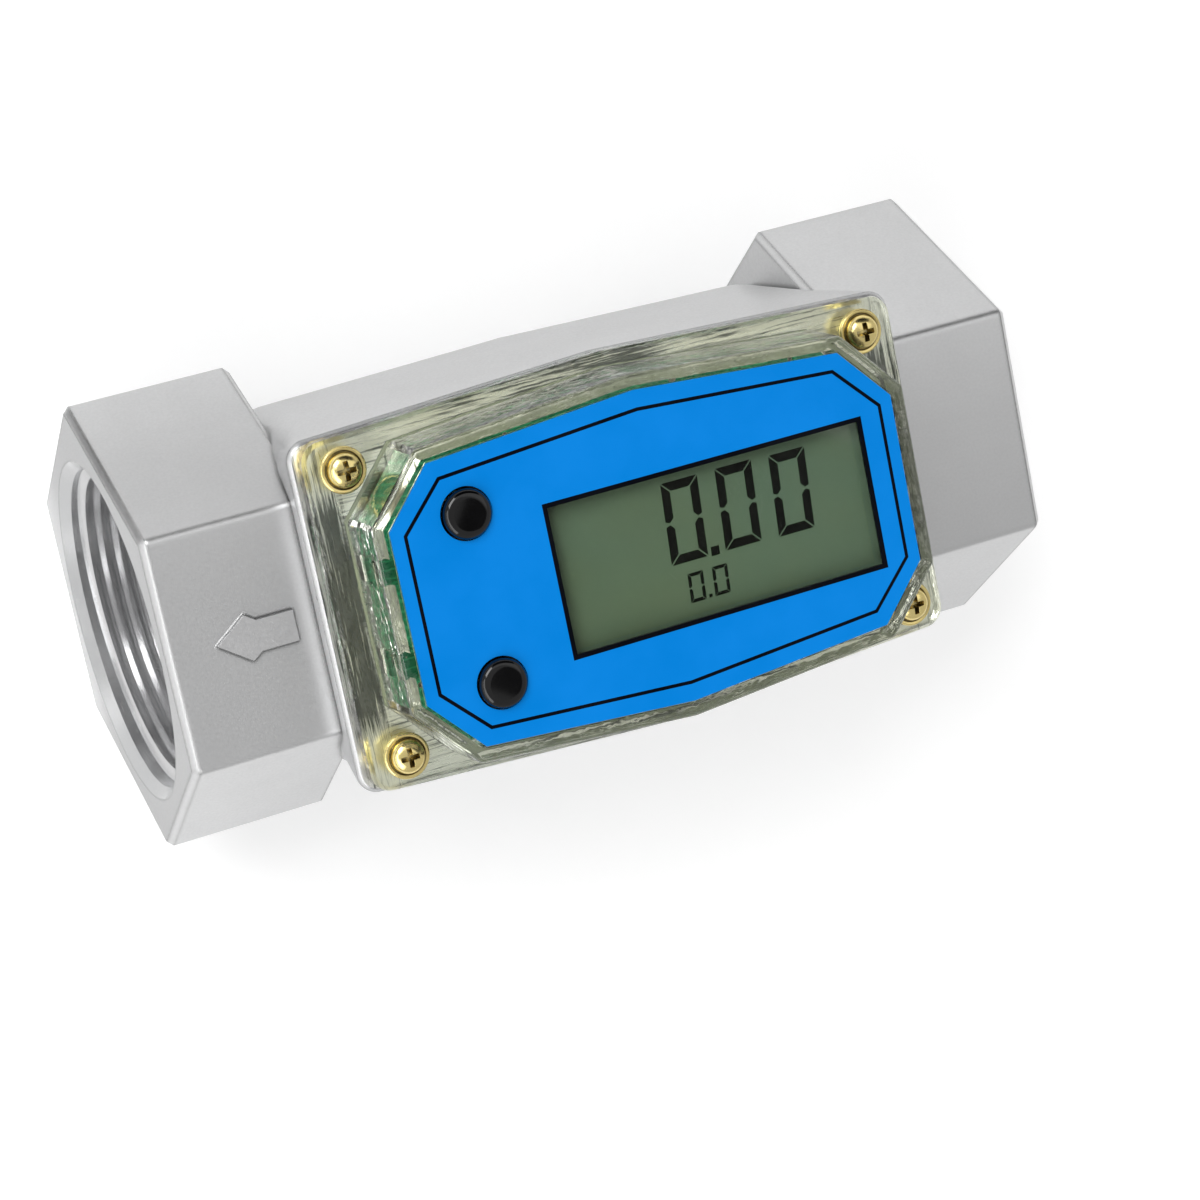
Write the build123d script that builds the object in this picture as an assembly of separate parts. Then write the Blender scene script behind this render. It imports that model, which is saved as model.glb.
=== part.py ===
from build123d import *
import os
from math import cos, radians, sin

# A turbine flow meter for a pipe line, with a battery-powered display, in millimetres.
# X runs along the pipe and the flow leaves at -X. Z points out of the display. The meter stands on the
# lower flats of its two hexagonal ends, at Z = 0. Every piece is drawn about the bore axis, and is lifted
# by half the hexagon's width when it is written.

# Hexagonal pipe ends
PIPE_WALL = 5.1
HEX_LENGTH = 25.0
METER_LENGTH = 136.0
HEX_EDGE_RADIUS = 1.2
HEX_BEVEL = 0.9

# Bores: pipe thread 1-1/2, measured at the roots of the thread, then the seats of the turbine's supports
THREAD_RADIUS = 23.9
THREAD_DEPTH = 20.0
MOUTH_CHAMFER = 1.4
SEAT_RADIUS = 19.25
CHAMBER_RADIUS = 18.25
CHAMBER_LENGTH = 48.0
RING_GROOVE_RADIUS = 20.3
RING_THICKNESS = 1.5
RING_INNER_RADIUS = 15.7
RING_SETBACK = 3.4
RING_PLAY = 0.1

# Box between the hexagons: plan with long sides bent at the middle, upright below and flared to the rim
BOX_OVERLAP = 2.2
BOX_MID_WIDTH = 54.4
BOX_BEND = 1.2
BOX_CORNER_RADIUS = 7.0
FLARE_HEIGHT = 11.8
RIM_END_OVERHANG = 1.4
RIM_SIDE_OVERHANG = 0.1
RIM_BEND = 2.1
RIM_CORNER_RADIUS = 3.0
RIM_LIP = 1.5
RIM_BEVEL = 0.6
CHAMBER_ROOF = 4.55
CAVITY_DEPTH = 11.0
CAVITY_BEVEL = 2.0
CAVITY_LEDGE = 3.0

# Flow arrow on the outlet hexagon
ARROW_LENGTH = 11.6
ARROW_HEAD_LENGTH = 4.6
ARROW_HEAD_WIDTH = 6.7
ARROW_TAIL_WIDTH = 4.6
ARROW_BARB = 1.5
ARROW_RELIEF = 0.5
ARROW_INSET = 13.0

# Faceplate
LABEL_END_MARGIN = 8.3
LABEL_SIDE_MARGIN = 4.9
LABEL_BEND = 2.4
LABEL_CUT_X = 7.0
LABEL_CUT_Y = 7.8
LABEL_THICKNESS = 0.4
LABEL_GAP = 0.2
WINDOW_START_INSET = 22.5
WINDOW_END_INSET = 5.8
WINDOW_WIDTH = 21.1
WINDOW_Y = -0.75

# Clear cover
COVER_HEIGHT = 12.4
FLANGE_THICKNESS = 2.7
FLANGE_END_INSET = 1.2
FLANGE_SIDE_INSET = 0.4
FLANGE_MID_INSET = 0.1
FLANGE_CORNER_RADIUS = 3.0
PLATEAU_RIM = 2.3
PLATEAU_EDGE_RADIUS = 0.8
PLATEAU_CORNER_RADIUS = 1.0
DRAFT = 2.0
COVER_WALL = 2.0
HOOK_Y = 6.6
HOOK_WIDTH = 3.6
HOOK_DEPTH = 1.6
HOOK_BARB = 0.8
HOOK_BARB_HEIGHT = 1.6

# Seal in the rim
SEAL_WIDTH = 1.7
SEAL_HEIGHT = 1.2
SEAL_SIDE_GAP = 0.05
SEAL_FROM_FOOT = 0.9

# Cover screws
SCREW_INSET_X = 5.4
SCREW_INSET_Y = 4.3
SCREW_RADIUS = 1.45
SCREW_LENGTH = 11.0
SCREW_HEAD_RADIUS = 3.3
SCREW_HEAD_HEIGHT = 2.3
SCREW_WASHER_HEIGHT = 0.7
SCREW_DOME_RADIUS = 2.8
SCREW_DOME_BEVEL = 0.9
SCREW_HOLE_GAP = 0.25
THREAD_GAP = 0.02

# Circuit board and display
BOARD_THICKNESS = 1.6
BOARD_RISE = 4.7
BOARD_EDGE_GAP = 0.3
LCD_THICKNESS = 2.8
LCD_MARGIN = 2.0
LCD_ROOF_GAP = 0.3
BEZEL_WALL = 1.3
BEZEL_GAP = 0.1
CONNECTOR_WIDTH = 2.0
CONNECTOR_INSET = 0.6
CHIP_SIZE = 7.0
CHIP_HEIGHT = 1.4

# Buttons and their switches
BUTTON_INSET = 11.1
BUTTON_SIDE_INSET = 8.0
BUTTON_RADIUS = 3.5
BUTTON_GUIDE_GAP = 0.15
BUTTON_STANDOUT = 1.3
BUTTON_BEVEL = 0.7
BUTTON_FLANGE_RADIUS = 4.6
BUTTON_FLANGE_THICKNESS = 0.8
BUTTON_ROOF_GAP = 0.05
BUTTON_TRAVEL = 0.3
SWITCH_SIZE = 6.0
PLUNGER_RADIUS = 1.75
PLUNGER_GAP = 0.05
PLUNGER_DEPTH = 0.7
PLUNGER_STANDOUT = 1.05

# Batteries under the board
CELL_RADIUS = 5.1
CELL_LENGTH = 43.5
CELL_NUB_RADIUS = 1.9
CELL_NUB_LENGTH = 0.9
CELL_GAP = 0.25
CELL_SPACING = 12.0
HOLDER_PLATE = 1.0
HOLDER_WALL = 1.2
HOLDER_GRIP = 2.5
CONTACT_THICKNESS = 0.3
CONTACT_WIDTH = 7.0
CONTACT_BOW = 1.4
CONTACT_TAB_WIDTH = 2.0

# Pickup
SENSOR_WIDTH = 4.0
SENSOR_DEPTH = 1.6
SENSOR_HEIGHT = 3.2
SENSOR_POCKET_RADIUS = 2.4
SENSOR_POCKET_DEPTH = 3.0
SENSOR_FLOOR_GAP = 0.1
LEAD_SIZE = 0.45
LEAD_PITCH = 1.27
LEAD_HOLE_RADIUS = 0.4
LEAD_STANDOUT = 0.6

# Turbine
SUPPORT_GAP = 0.08
SUPPORT_HUB_RADIUS = 6.2
VANE_COUNT = 3
VANE_THICKNESS = 3.0
VANE_ROOF = 3.0
PAD_THICKNESS = 1.8
PAD_ANGLE = 40.0
OUTLET_RING_LENGTH = 6.0
HUB_NOSE_LENGTH = 4.0
ROTOR_HUB_RADIUS = 6.2
ROTOR_HUB_LENGTH = 23.0
ROTOR_TIP_GAP = 0.75
BLADE_COUNT = 6
BLADE_LENGTH = 16.0
BLADE_TWIST = 42.0
BLADE_ROOT_THICKNESS = 2.6
BLADE_TIP_THICKNESS = 1.6
SHAFT_RADIUS = 1.5
SHAFT_RUNNING_GAP = 0.04
PRESS_GAP = 0.01
BUSH_RADIUS = 3.0
BUSH_LENGTH = 8.0
BUSH_FLANGE_RADIUS = 4.4
BUSH_FLANGE_THICKNESS = 1.0
THRUST_GAP = 0.3
SHAFT_END_GAP = 1.0
MAGNET_RADIUS = 1.5
MAGNET_LENGTH = 2.6
MAGNET_TURNS = (0, 180)

# Eyes of the retaining rings
EYE_RADIUS = 2.2
EYE_HOLE_RADIUS = 1.0
EYE_PLACE_RADIUS = 16.8
EYE_ANGLE = 209.0
EYE_SPREAD = 23.0

# Sizes that follow from the ones above
AXIS_HEIGHT = THREAD_RADIUS + PIPE_WALL
HALF_LENGTH = METER_LENGTH / 2
THREAD_END = HALF_LENGTH - THREAD_DEPTH
RING_OUT = THREAD_END - RING_SETBACK
RING_IN = RING_OUT - RING_THICKNESS
SEAT_END = RING_IN - RING_PLAY
CHAMBER_HALF = CHAMBER_LENGTH / 2
SUPPORT_RADIUS = SEAT_RADIUS - SUPPORT_GAP
BOX_LENGTH = METER_LENGTH - 2 * HEX_LENGTH + 2 * BOX_OVERLAP
BOX_END_WIDTH = BOX_MID_WIDTH - 2 * BOX_BEND
RIM_LENGTH = BOX_LENGTH + 2 * RIM_END_OVERHANG
RIM_MID_WIDTH = BOX_MID_WIDTH + 2 * RIM_SIDE_OVERHANG
RIM_END_WIDTH = RIM_MID_WIDTH - 2 * RIM_BEND
CAVITY_FLOOR = CHAMBER_RADIUS + CHAMBER_ROOF
RIM_HEIGHT = CAVITY_FLOOR + CAVITY_DEPTH
FLARE_START = RIM_HEIGHT - FLARE_HEIGHT
ARROW_CENTRE = HALF_LENGTH - ARROW_INSET
LABEL_LENGTH = RIM_LENGTH - 2 * LABEL_END_MARGIN
LABEL_MID_WIDTH = RIM_MID_WIDTH - 2 * LABEL_SIDE_MARGIN
LABEL_END_WIDTH = LABEL_MID_WIDTH - 2 * LABEL_BEND
WINDOW_LENGTH = LABEL_LENGTH - WINDOW_START_INSET - WINDOW_END_INSET
WINDOW_X = (WINDOW_START_INSET - WINDOW_END_INSET) / 2
BUTTON_X = BUTTON_INSET - LABEL_LENGTH / 2
BUTTON_Y = LABEL_END_WIDTH / 2 - BUTTON_SIDE_INSET
COVER_TOP = RIM_HEIGHT + COVER_HEIGHT
BOARD_TOP = RIM_HEIGHT + BOARD_RISE
FLANGE_TOP = RIM_HEIGHT + FLANGE_THICKNESS
RECESS_FLOOR = COVER_TOP - LABEL_THICKNESS
ROOF_UNDER = RECESS_FLOOR - COVER_WALL
FLANGE_LENGTH = RIM_LENGTH - 2 * FLANGE_END_INSET
FLANGE_END_WIDTH = RIM_END_WIDTH - 2 * FLANGE_SIDE_INSET
FLANGE_MID_WIDTH = RIM_MID_WIDTH - 2 * FLANGE_MID_INSET
SCREW_X = FLANGE_LENGTH / 2 - SCREW_INSET_X
SCREW_Y = FLANGE_END_WIDTH / 2 - SCREW_INSET_Y
BOARD_UNDER = BOARD_TOP - BOARD_THICKNESS
LCD_TOP = ROOF_UNDER - LCD_ROOF_GAP
LCD_UNDER = LCD_TOP - LCD_THICKNESS
LCD_LENGTH = WINDOW_LENGTH + 2 * LCD_MARGIN
LCD_WIDTH = WINDOW_WIDTH + 2 * LCD_MARGIN
BUTTON_FLANGE_TOP = ROOF_UNDER - BUTTON_ROOF_GAP
BUTTON_UNDER = BUTTON_FLANGE_TOP - BUTTON_FLANGE_THICKNESS
SWITCH_TOP = BUTTON_UNDER - PLUNGER_STANDOUT
CELL_HEIGHT = BOARD_UNDER - HOLDER_PLATE - CELL_GAP - CELL_RADIUS
HOLDER_LENGTH = CELL_LENGTH + CELL_NUB_LENGTH + 2 * (CONTACT_BOW + HOLDER_WALL)
HOLDER_WIDTH = CELL_SPACING + 2 * (CELL_RADIUS + CELL_GAP + HOLDER_WALL / 2)
BUSH_FACE = ROTOR_HUB_LENGTH / 2 + THRUST_GAP
BUSH_END = BUSH_FACE + BUSH_LENGTH
BLADE_RADIUS = CHAMBER_RADIUS - ROTOR_TIP_GAP
ALONG_X = Plane.YZ


def mirrored_plan(corners):
    """Closed face, symmetric about X and Y, from its corners in the first quarter, the middle one first."""
    right = corners + [(x, -y) for x, y in reversed(corners)]
    left = [(-x, y) for x, y in reversed(right) if x > 0]
    return make_face(Polyline(*right, *left, close=True))


def bent_rectangle(length, end_width, mid_width, corner_radius):
    """Plan of the box and the flange: a rectangle whose long sides are bent at the middle."""
    plan = mirrored_plan([(0, mid_width / 2), (length / 2, end_width / 2)])
    corners = plan.vertices().filter_by(lambda v: abs(v.X) > length / 4)
    return fillet(corners, corner_radius)


def label_plan(margin=0.0):
    """Ten-sided plan of the faceplate, grown by a margin."""
    plan = mirrored_plan([
        (0, LABEL_MID_WIDTH / 2),
        (LABEL_LENGTH / 2 - LABEL_CUT_X, LABEL_END_WIDTH / 2),
        (LABEL_LENGTH / 2, LABEL_END_WIDTH / 2 - LABEL_CUT_Y),
    ])
    if margin == 0:
        return plan
    return offset(plan, margin, kind=Kind.INTERSECTION)


def facing_up(plan):
    """The same plan with every face looking along +Z."""
    return Sketch() + [face if face.normal_at().Z > 0 else -face for face in plan.faces()]


def raised(plan, low, high):
    """Straight prism of a plan between two heights."""
    return extrude(Pos(0, 0, low) * facing_up(plan), high - low)


def drafted(plan, low, high):
    """Prism of a plan that narrows upwards by the moulding draft."""
    return extrude(Pos(0, 0, low) * facing_up(plan), high - low, taper=DRAFT)


def across(outline, y, width):
    """Prism of an outline given as (x, height) points, of a width along Y about a place."""
    return extrude(Plane.XZ.offset(-y) * make_face(outline), width / 2, both=True)


def draft_growth(height):
    """How far a drafted wall moves outwards over a height."""
    return height * sin(radians(DRAFT)) / cos(radians(DRAFT))


def foot_plan(inset=0.0):
    """Plan of the plateau where it meets the flange, shrunk by an inset."""
    growth = draft_growth(COVER_TOP - FLANGE_TOP)
    return label_plan(PLATEAU_RIM + growth - inset)


def drum(radius, start, end):
    """Cylinder along the bore axis."""
    return extrude(ALONG_X.offset(start) * Circle(radius), end - start)


def peg(radius, x, y, low, high):
    """Upright cylinder."""
    return extrude(Pos(x, y, low) * Circle(radius), high - low)


def block(x_size, y_size, low, high, x=0.0, y=0.0):
    """Upright box."""
    return extrude(Pos(x, y, low) * Rectangle(x_size, y_size), high - low)


def around_bore(profile):
    """Solid of revolution from points (x, radius)."""
    return revolve(make_face(Polyline(*profile, close=True)), Axis.X)


def hex_end(start):
    """Hexagonal end with rounded corners to the sides, flats above and below, and bevelled faces."""
    hexagon = RegularPolygon(AXIS_HEIGHT, 6, major_radius=False)
    section = fillet(hexagon.vertices(), HEX_EDGE_RADIUS)
    prism = extrude(ALONG_X.offset(start) * section, HEX_LENGTH)
    return chamfer(prism.edges().filter_by(Axis.X, reverse=True), HEX_BEVEL)


def box_shell():
    """Middle of the casting: upright walls that flare to the rim, over a round underside of the same plan."""
    plan = facing_up(bent_rectangle(BOX_LENGTH, BOX_END_WIDTH, BOX_MID_WIDTH, BOX_CORNER_RADIUS))
    rim = facing_up(bent_rectangle(RIM_LENGTH, RIM_END_WIDTH, RIM_MID_WIDTH, RIM_CORNER_RADIUS))
    lip_under = RIM_HEIGHT - RIM_LIP
    lip = raised(rim, lip_under, RIM_HEIGHT)
    lip = chamfer(lip.edges().group_by(Axis.Z)[-1], RIM_BEVEL)
    flare = loft([Pos(0, 0, FLARE_START) * plan, Pos(0, 0, lip_under) * rim], ruled=True)
    half_plan = plan & Pos(0, BOX_MID_WIDTH / 2) * Rectangle(METER_LENGTH, BOX_MID_WIDTH)
    underside = revolve(half_plan, Axis.X)
    return raised(plan, 0, FLARE_START) + underside + flare + lip


def half_bore():
    """Everything bored from one end: thread, seat, ring groove and half of the rotor chamber."""
    groove_in = RING_IN - RING_PLAY
    groove_out = RING_OUT + RING_PLAY
    return around_bore([
        (-1, 0),
        (-1, CHAMBER_RADIUS),
        (CHAMBER_HALF, CHAMBER_RADIUS),
        (CHAMBER_HALF, SEAT_RADIUS),
        (groove_in, SEAT_RADIUS),
        (groove_in, RING_GROOVE_RADIUS),
        (groove_out, RING_GROOVE_RADIUS),
        (groove_out, SEAT_RADIUS),
        (THREAD_END - MOUTH_CHAMFER, SEAT_RADIUS),
        (THREAD_END, SEAT_RADIUS + MOUTH_CHAMFER),
        (THREAD_END, THREAD_RADIUS),
        (HALF_LENGTH - MOUTH_CHAMFER, THREAD_RADIUS),
        (HALF_LENGTH + 1, THREAD_RADIUS + MOUTH_CHAMFER + 1),
        (HALF_LENGTH + 1, 0),
    ])


def arrow():
    """Flow arrow that stands up from the outlet hexagon's upper flat and points to -X."""
    tip = -ARROW_LENGTH / 2
    neck = tip + ARROW_HEAD_LENGTH
    outline = Polyline(
        (tip, 0),
        (neck, ARROW_HEAD_WIDTH / 2),
        (neck + ARROW_BARB, ARROW_TAIL_WIDTH / 2),
        (-tip, ARROW_TAIL_WIDTH / 2),
        (-tip, -ARROW_TAIL_WIDTH / 2),
        (neck + ARROW_BARB, -ARROW_TAIL_WIDTH / 2),
        (neck, -ARROW_HEAD_WIDTH / 2),
        close=True,
    )
    plan = Pos(-ARROW_CENTRE, 0) * make_face(outline)
    return raised(plan, AXIS_HEIGHT - HEX_BEVEL, AXIS_HEIGHT + ARROW_RELIEF)


def screw_places():
    """Centres of the four cover screws."""
    return [(x, y) for x in (-SCREW_X, SCREW_X) for y in (-SCREW_Y, SCREW_Y)]


def seal_plan(side_gap):
    """Closed loop of the seal, seen from above, with a gap on each side."""
    half = SEAL_WIDTH / 2 + side_gap
    return foot_plan(SEAL_FROM_FOOT - half) - foot_plan(SEAL_FROM_FOOT + half)


def meter_body():
    """Die-cast body: hexagonal ends, box, bores, electronics cavity and screw holes."""
    body = hex_end(HALF_LENGTH - HEX_LENGTH) + hex_end(-HALF_LENGTH) + box_shell()
    bore = half_bore()
    body = body - bore - mirror(bore, ALONG_X)
    cavity = raised(foot_plan(CAVITY_LEDGE), CAVITY_FLOOR, RIM_HEIGHT + 1)
    cavity = chamfer(cavity.edges().group_by(Axis.Z)[0], CAVITY_BEVEL)
    body = body - cavity
    body = body - raised(seal_plan(SEAL_SIDE_GAP), RIM_HEIGHT - SEAL_HEIGHT, RIM_HEIGHT + 1)
    hole_end = FLANGE_TOP - SCREW_LENGTH - 1
    for x, y in screw_places():
        body = body - peg(SCREW_RADIUS + THREAD_GAP, x, y, hole_end, RIM_HEIGHT + 1)
    pocket = peg(SENSOR_POCKET_RADIUS, 0, 0, CAVITY_FLOOR - SENSOR_POCKET_DEPTH, CAVITY_FLOOR + 1)
    return body - pocket + arrow()


def cover_hooks():
    """Ribs on the inner end walls that stop the board from above, with barbs that catch it from below."""
    wall = LABEL_LENGTH / 2 + PLATEAU_RIM - COVER_WALL + draft_growth(COVER_TOP - BOARD_TOP)
    hooks = []
    for side in (-1, 1):
        for y in (-HOOK_Y, HOOK_Y):
            rib_x = side * (wall + COVER_WALL / 2 - HOOK_DEPTH / 2)
            rib = block(HOOK_DEPTH + COVER_WALL, HOOK_WIDTH, BOARD_TOP, ROOF_UNDER, rib_x, y)
            profile = Polyline(
                (side * (wall + COVER_WALL / 2), BOARD_UNDER),
                (side * (wall - BOARD_EDGE_GAP - HOOK_BARB), BOARD_UNDER),
                (side * wall, BOARD_UNDER - HOOK_BARB_HEIGHT),
                (side * (wall + COVER_WALL / 2), BOARD_UNDER - HOOK_BARB_HEIGHT),
                close=True,
            )
            hooks += [rib, across(profile, y, HOOK_WIDTH)]
    return hooks


def clear_cover():
    """Moulded cover: flange, raised plateau with draft, hollow inside, label recess and board hooks."""
    outline = bent_rectangle(FLANGE_LENGTH, FLANGE_END_WIDTH, FLANGE_MID_WIDTH, FLANGE_CORNER_RADIUS)
    flange = raised(outline, RIM_HEIGHT, FLANGE_TOP)
    flange = chamfer(flange.edges().group_by(Axis.Z)[-1], RIM_BEVEL)
    plateau = drafted(foot_plan(-draft_growth(RIM_BEVEL)), FLANGE_TOP - RIM_BEVEL, COVER_TOP)
    sides = plateau.edges().filter_by(lambda e: e.bounding_box().size.Z > FLANGE_THICKNESS)
    plateau = fillet(sides, PLATEAU_CORNER_RADIUS)
    plateau = fillet(plateau.edges().group_by(Axis.Z)[-1], PLATEAU_EDGE_RADIUS)
    hollow_foot = foot_plan(COVER_WALL - draft_growth(FLANGE_THICKNESS))
    cover = flange + plateau - drafted(hollow_foot, RIM_HEIGHT, ROOF_UNDER)
    for piece in cover_hooks():
        cover = cover + piece
    cover = cover - raised(label_plan(LABEL_GAP), RECESS_FLOOR, COVER_TOP + 1)
    for x, y in screw_places():
        cover = cover - peg(SCREW_RADIUS + SCREW_HOLE_GAP, x, y, RIM_HEIGHT - 1, FLANGE_TOP + 1)
        cover = cover - peg(SCREW_HEAD_RADIUS + SCREW_HOLE_GAP, x, y, FLANGE_TOP, COVER_TOP + 1)
    for y in (-BUTTON_Y, BUTTON_Y):
        cover = cover - peg(BUTTON_RADIUS + BUTTON_GUIDE_GAP, BUTTON_X, y, ROOF_UNDER - 1, COVER_TOP + 1)
    return cover


def cover_gasket():
    """Rubber seal that fills the groove in the rim."""
    return raised(seal_plan(0), RIM_HEIGHT - SEAL_HEIGHT, RIM_HEIGHT)


def cover_screw(x, y):
    """Pan-head screw with a round collar under its head."""
    dome = peg(SCREW_DOME_RADIUS, 0, 0, 0, SCREW_HEAD_HEIGHT)
    dome = chamfer(dome.edges().group_by(Axis.Z)[-1], SCREW_DOME_BEVEL)
    collar = peg(SCREW_HEAD_RADIUS, 0, 0, 0, SCREW_WASHER_HEIGHT)
    return Pos(x, y, FLANGE_TOP) * (peg(SCREW_RADIUS, 0, 0, -SCREW_LENGTH, 0) + collar + dome)


def face_label():
    """Thin blue faceplate with the display window and the button holes."""
    label = raised(label_plan(), RECESS_FLOOR, COVER_TOP)
    label = label - block(WINDOW_LENGTH, WINDOW_WIDTH, RECESS_FLOOR - 1, COVER_TOP + 1, WINDOW_X, WINDOW_Y)
    for y in (-BUTTON_Y, BUTTON_Y):
        hole = BUTTON_RADIUS + BUTTON_GUIDE_GAP + LABEL_GAP / 2
        label = label - peg(hole, BUTTON_X, y, RECESS_FLOOR - 1, COVER_TOP + 1)
    return label


def lcd_panel():
    """Glass panel under the window."""
    return block(LCD_LENGTH, LCD_WIDTH, LCD_UNDER, LCD_TOP, WINDOW_X, WINDOW_Y)


def lcd_bezel():
    """Frame that stands on the board and holds the panel, with a lip under the panel's edge."""
    length = LCD_LENGTH + 2 * (BEZEL_GAP + BEZEL_WALL)
    width = LCD_WIDTH + 2 * (BEZEL_GAP + BEZEL_WALL)
    frame = block(length, width, BOARD_TOP, LCD_TOP, WINDOW_X, WINDOW_Y)
    frame = fillet(frame.edges().filter_by(Axis.Z), BEZEL_WALL)
    inside = LCD_LENGTH + 2 * BEZEL_GAP
    frame = frame - block(inside, LCD_WIDTH + 2 * BEZEL_GAP, LCD_UNDER, LCD_TOP + 1, WINDOW_X, WINDOW_Y)
    return frame - block(WINDOW_LENGTH, LCD_WIDTH, BOARD_TOP - 1, LCD_TOP, WINDOW_X, WINDOW_Y)


def lcd_connectors():
    """Two elastomer strips that press the panel's contacts to the board."""
    reach = LCD_WIDTH / 2 - CONNECTOR_INSET - CONNECTOR_WIDTH / 2
    length = WINDOW_LENGTH - 2 * CONNECTOR_INSET
    return [
        block(length, CONNECTOR_WIDTH, BOARD_TOP, LCD_UNDER, WINDOW_X, WINDOW_Y + side * reach)
        for side in (-1, 1)
    ]


def lead_places():
    """X places of the pickup's three legs."""
    return [LEAD_PITCH * i for i in (-1, 0, 1)]


def circuit_board():
    """Board that follows the inside of the cover and is held by its hooks."""
    at_board = foot_plan(COVER_WALL + BOARD_EDGE_GAP + draft_growth(BOARD_TOP - FLANGE_TOP))
    board = raised(at_board, BOARD_UNDER, BOARD_TOP)
    for x in lead_places():
        board = board - peg(LEAD_HOLE_RADIUS, x, 0, BOARD_UNDER - 1, BOARD_TOP + 1)
    return board


def controller_chip():
    """Flat chip package between the two switches."""
    chip = block(CHIP_SIZE, CHIP_SIZE, BOARD_TOP, BOARD_TOP + CHIP_HEIGHT, BUTTON_X, 0)
    return chamfer(chip.edges().group_by(Axis.Z)[-1], CHIP_HEIGHT / 4)


def tact_switch(y):
    """Switch housing with the well for its plunger."""
    housing = block(SWITCH_SIZE, SWITCH_SIZE, BOARD_TOP, SWITCH_TOP, BUTTON_X, y)
    housing = chamfer(housing.edges().filter_by(Axis.Z), SWITCH_SIZE / 12)
    well_floor = SWITCH_TOP - PLUNGER_DEPTH - 2 * BUTTON_TRAVEL
    return housing - peg(PLUNGER_RADIUS + PLUNGER_GAP, BUTTON_X, y, well_floor, SWITCH_TOP + 1)


def tact_plunger(y):
    """Stem that passes the cap's travel to the switch."""
    return peg(PLUNGER_RADIUS, BUTTON_X, y, SWITCH_TOP - PLUNGER_DEPTH, BUTTON_UNDER)


def button_cap(y):
    """Bevelled cap, guided in the cover and held in by its flange."""
    stem = peg(BUTTON_RADIUS, 0, 0, BUTTON_UNDER, COVER_TOP + BUTTON_STANDOUT)
    stem = chamfer(stem.edges().group_by(Axis.Z)[-1], BUTTON_BEVEL)
    flange = peg(BUTTON_FLANGE_RADIUS, 0, 0, BUTTON_UNDER, BUTTON_FLANGE_TOP)
    return Pos(BUTTON_X, y, 0) * (stem + flange)


def cell_places():
    """Y places of the two cells."""
    return [-CELL_SPACING / 2, CELL_SPACING / 2]


def battery_holder():
    """Holder under the board: two troughs whose arms snap round the cells from above."""
    low = CELL_HEIGHT - HOLDER_GRIP
    holder = block(HOLDER_LENGTH, HOLDER_WIDTH, low, BOARD_UNDER)
    holder = fillet(holder.edges().filter_by(Axis.Z), HOLDER_WALL)
    room = HOLDER_LENGTH / 2 - HOLDER_WALL
    for y in cell_places():
        trough = drum(CELL_RADIUS + CELL_GAP, -room, room)
        holder = holder - Pos(0, y, CELL_HEIGHT) * trough
    slot = 2 * LEAD_PITCH + 2 * LEAD_SIZE
    return holder - block(slot, 2 * LEAD_SIZE + 2 * CELL_GAP, low - 1, BOARD_UNDER + 1)


def battery_cells():
    """Two cells that lie side by side with their nubs at opposite ends."""
    cells = []
    for side, y in zip((-1, 1), cell_places()):
        centre = -side * CELL_NUB_LENGTH / 2
        can = drum(CELL_RADIUS, centre - CELL_LENGTH / 2, centre + CELL_LENGTH / 2)
        can = chamfer(can.edges(), CELL_GAP)
        start = centre + side * CELL_LENGTH / 2
        nub = drum(CELL_NUB_RADIUS, min(start, start + side * CELL_NUB_LENGTH),
                   max(start, start + side * CELL_NUB_LENGTH))
        cells.append(Pos(0, y, CELL_HEIGHT) * (can + nub))
    return cells


def battery_contact(side, y):
    """Leaf contact: a bowed strip against the cell's end, with a tab up to the board."""
    wall = side * (HOLDER_LENGTH / 2 - HOLDER_WALL)
    strip = block(CONTACT_THICKNESS, CONTACT_WIDTH, CELL_HEIGHT - CELL_NUB_RADIUS,
                  CELL_HEIGHT + CELL_NUB_RADIUS, wall - side * CONTACT_THICKNESS / 2, y)
    reach = side * (CONTACT_BOW - CONTACT_THICKNESS)
    leaf = Polyline(
        (wall - side * CONTACT_THICKNESS, CELL_HEIGHT - CELL_NUB_RADIUS),
        (wall - side * CONTACT_THICKNESS - reach, CELL_HEIGHT),
        (wall - side * CONTACT_THICKNESS, CELL_HEIGHT + CELL_NUB_RADIUS),
        close=True,
    )
    bow = across(leaf, y, CONTACT_TAB_WIDTH)
    tab_top = CELL_HEIGHT + CELL_RADIUS - CELL_GAP
    tab = block(CONTACT_THICKNESS, CONTACT_TAB_WIDTH, CELL_HEIGHT, tab_top,
                wall - side * CONTACT_THICKNESS / 2, y)
    return strip + bow + tab


def battery_contacts():
    """Four contacts, one at each end of each cell."""
    return [battery_contact(side, y) for side in (-1, 1) for y in cell_places()]


def sensor_base():
    """Height of the pickup's underside in its pocket."""
    return CAVITY_FLOOR - SENSOR_POCKET_DEPTH + SENSOR_FLOOR_GAP


def hall_sensor():
    """Pickup with one rounded face, standing in its pocket over the rotor."""
    base = sensor_base()
    body = block(SENSOR_WIDTH, SENSOR_DEPTH, base, base + SENSOR_HEIGHT)
    back = body.edges().filter_by(Axis.Z).group_by(Axis.Y)[-1]
    return fillet(back, SENSOR_DEPTH / 2)


def sensor_leads():
    """Three legs from the pickup, between the cells, through the board."""
    top = BOARD_TOP + LEAD_STANDOUT
    start = sensor_base() + SENSOR_HEIGHT
    return [block(LEAD_SIZE, LEAD_SIZE, start, top, x) for x in lead_places()]


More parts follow.
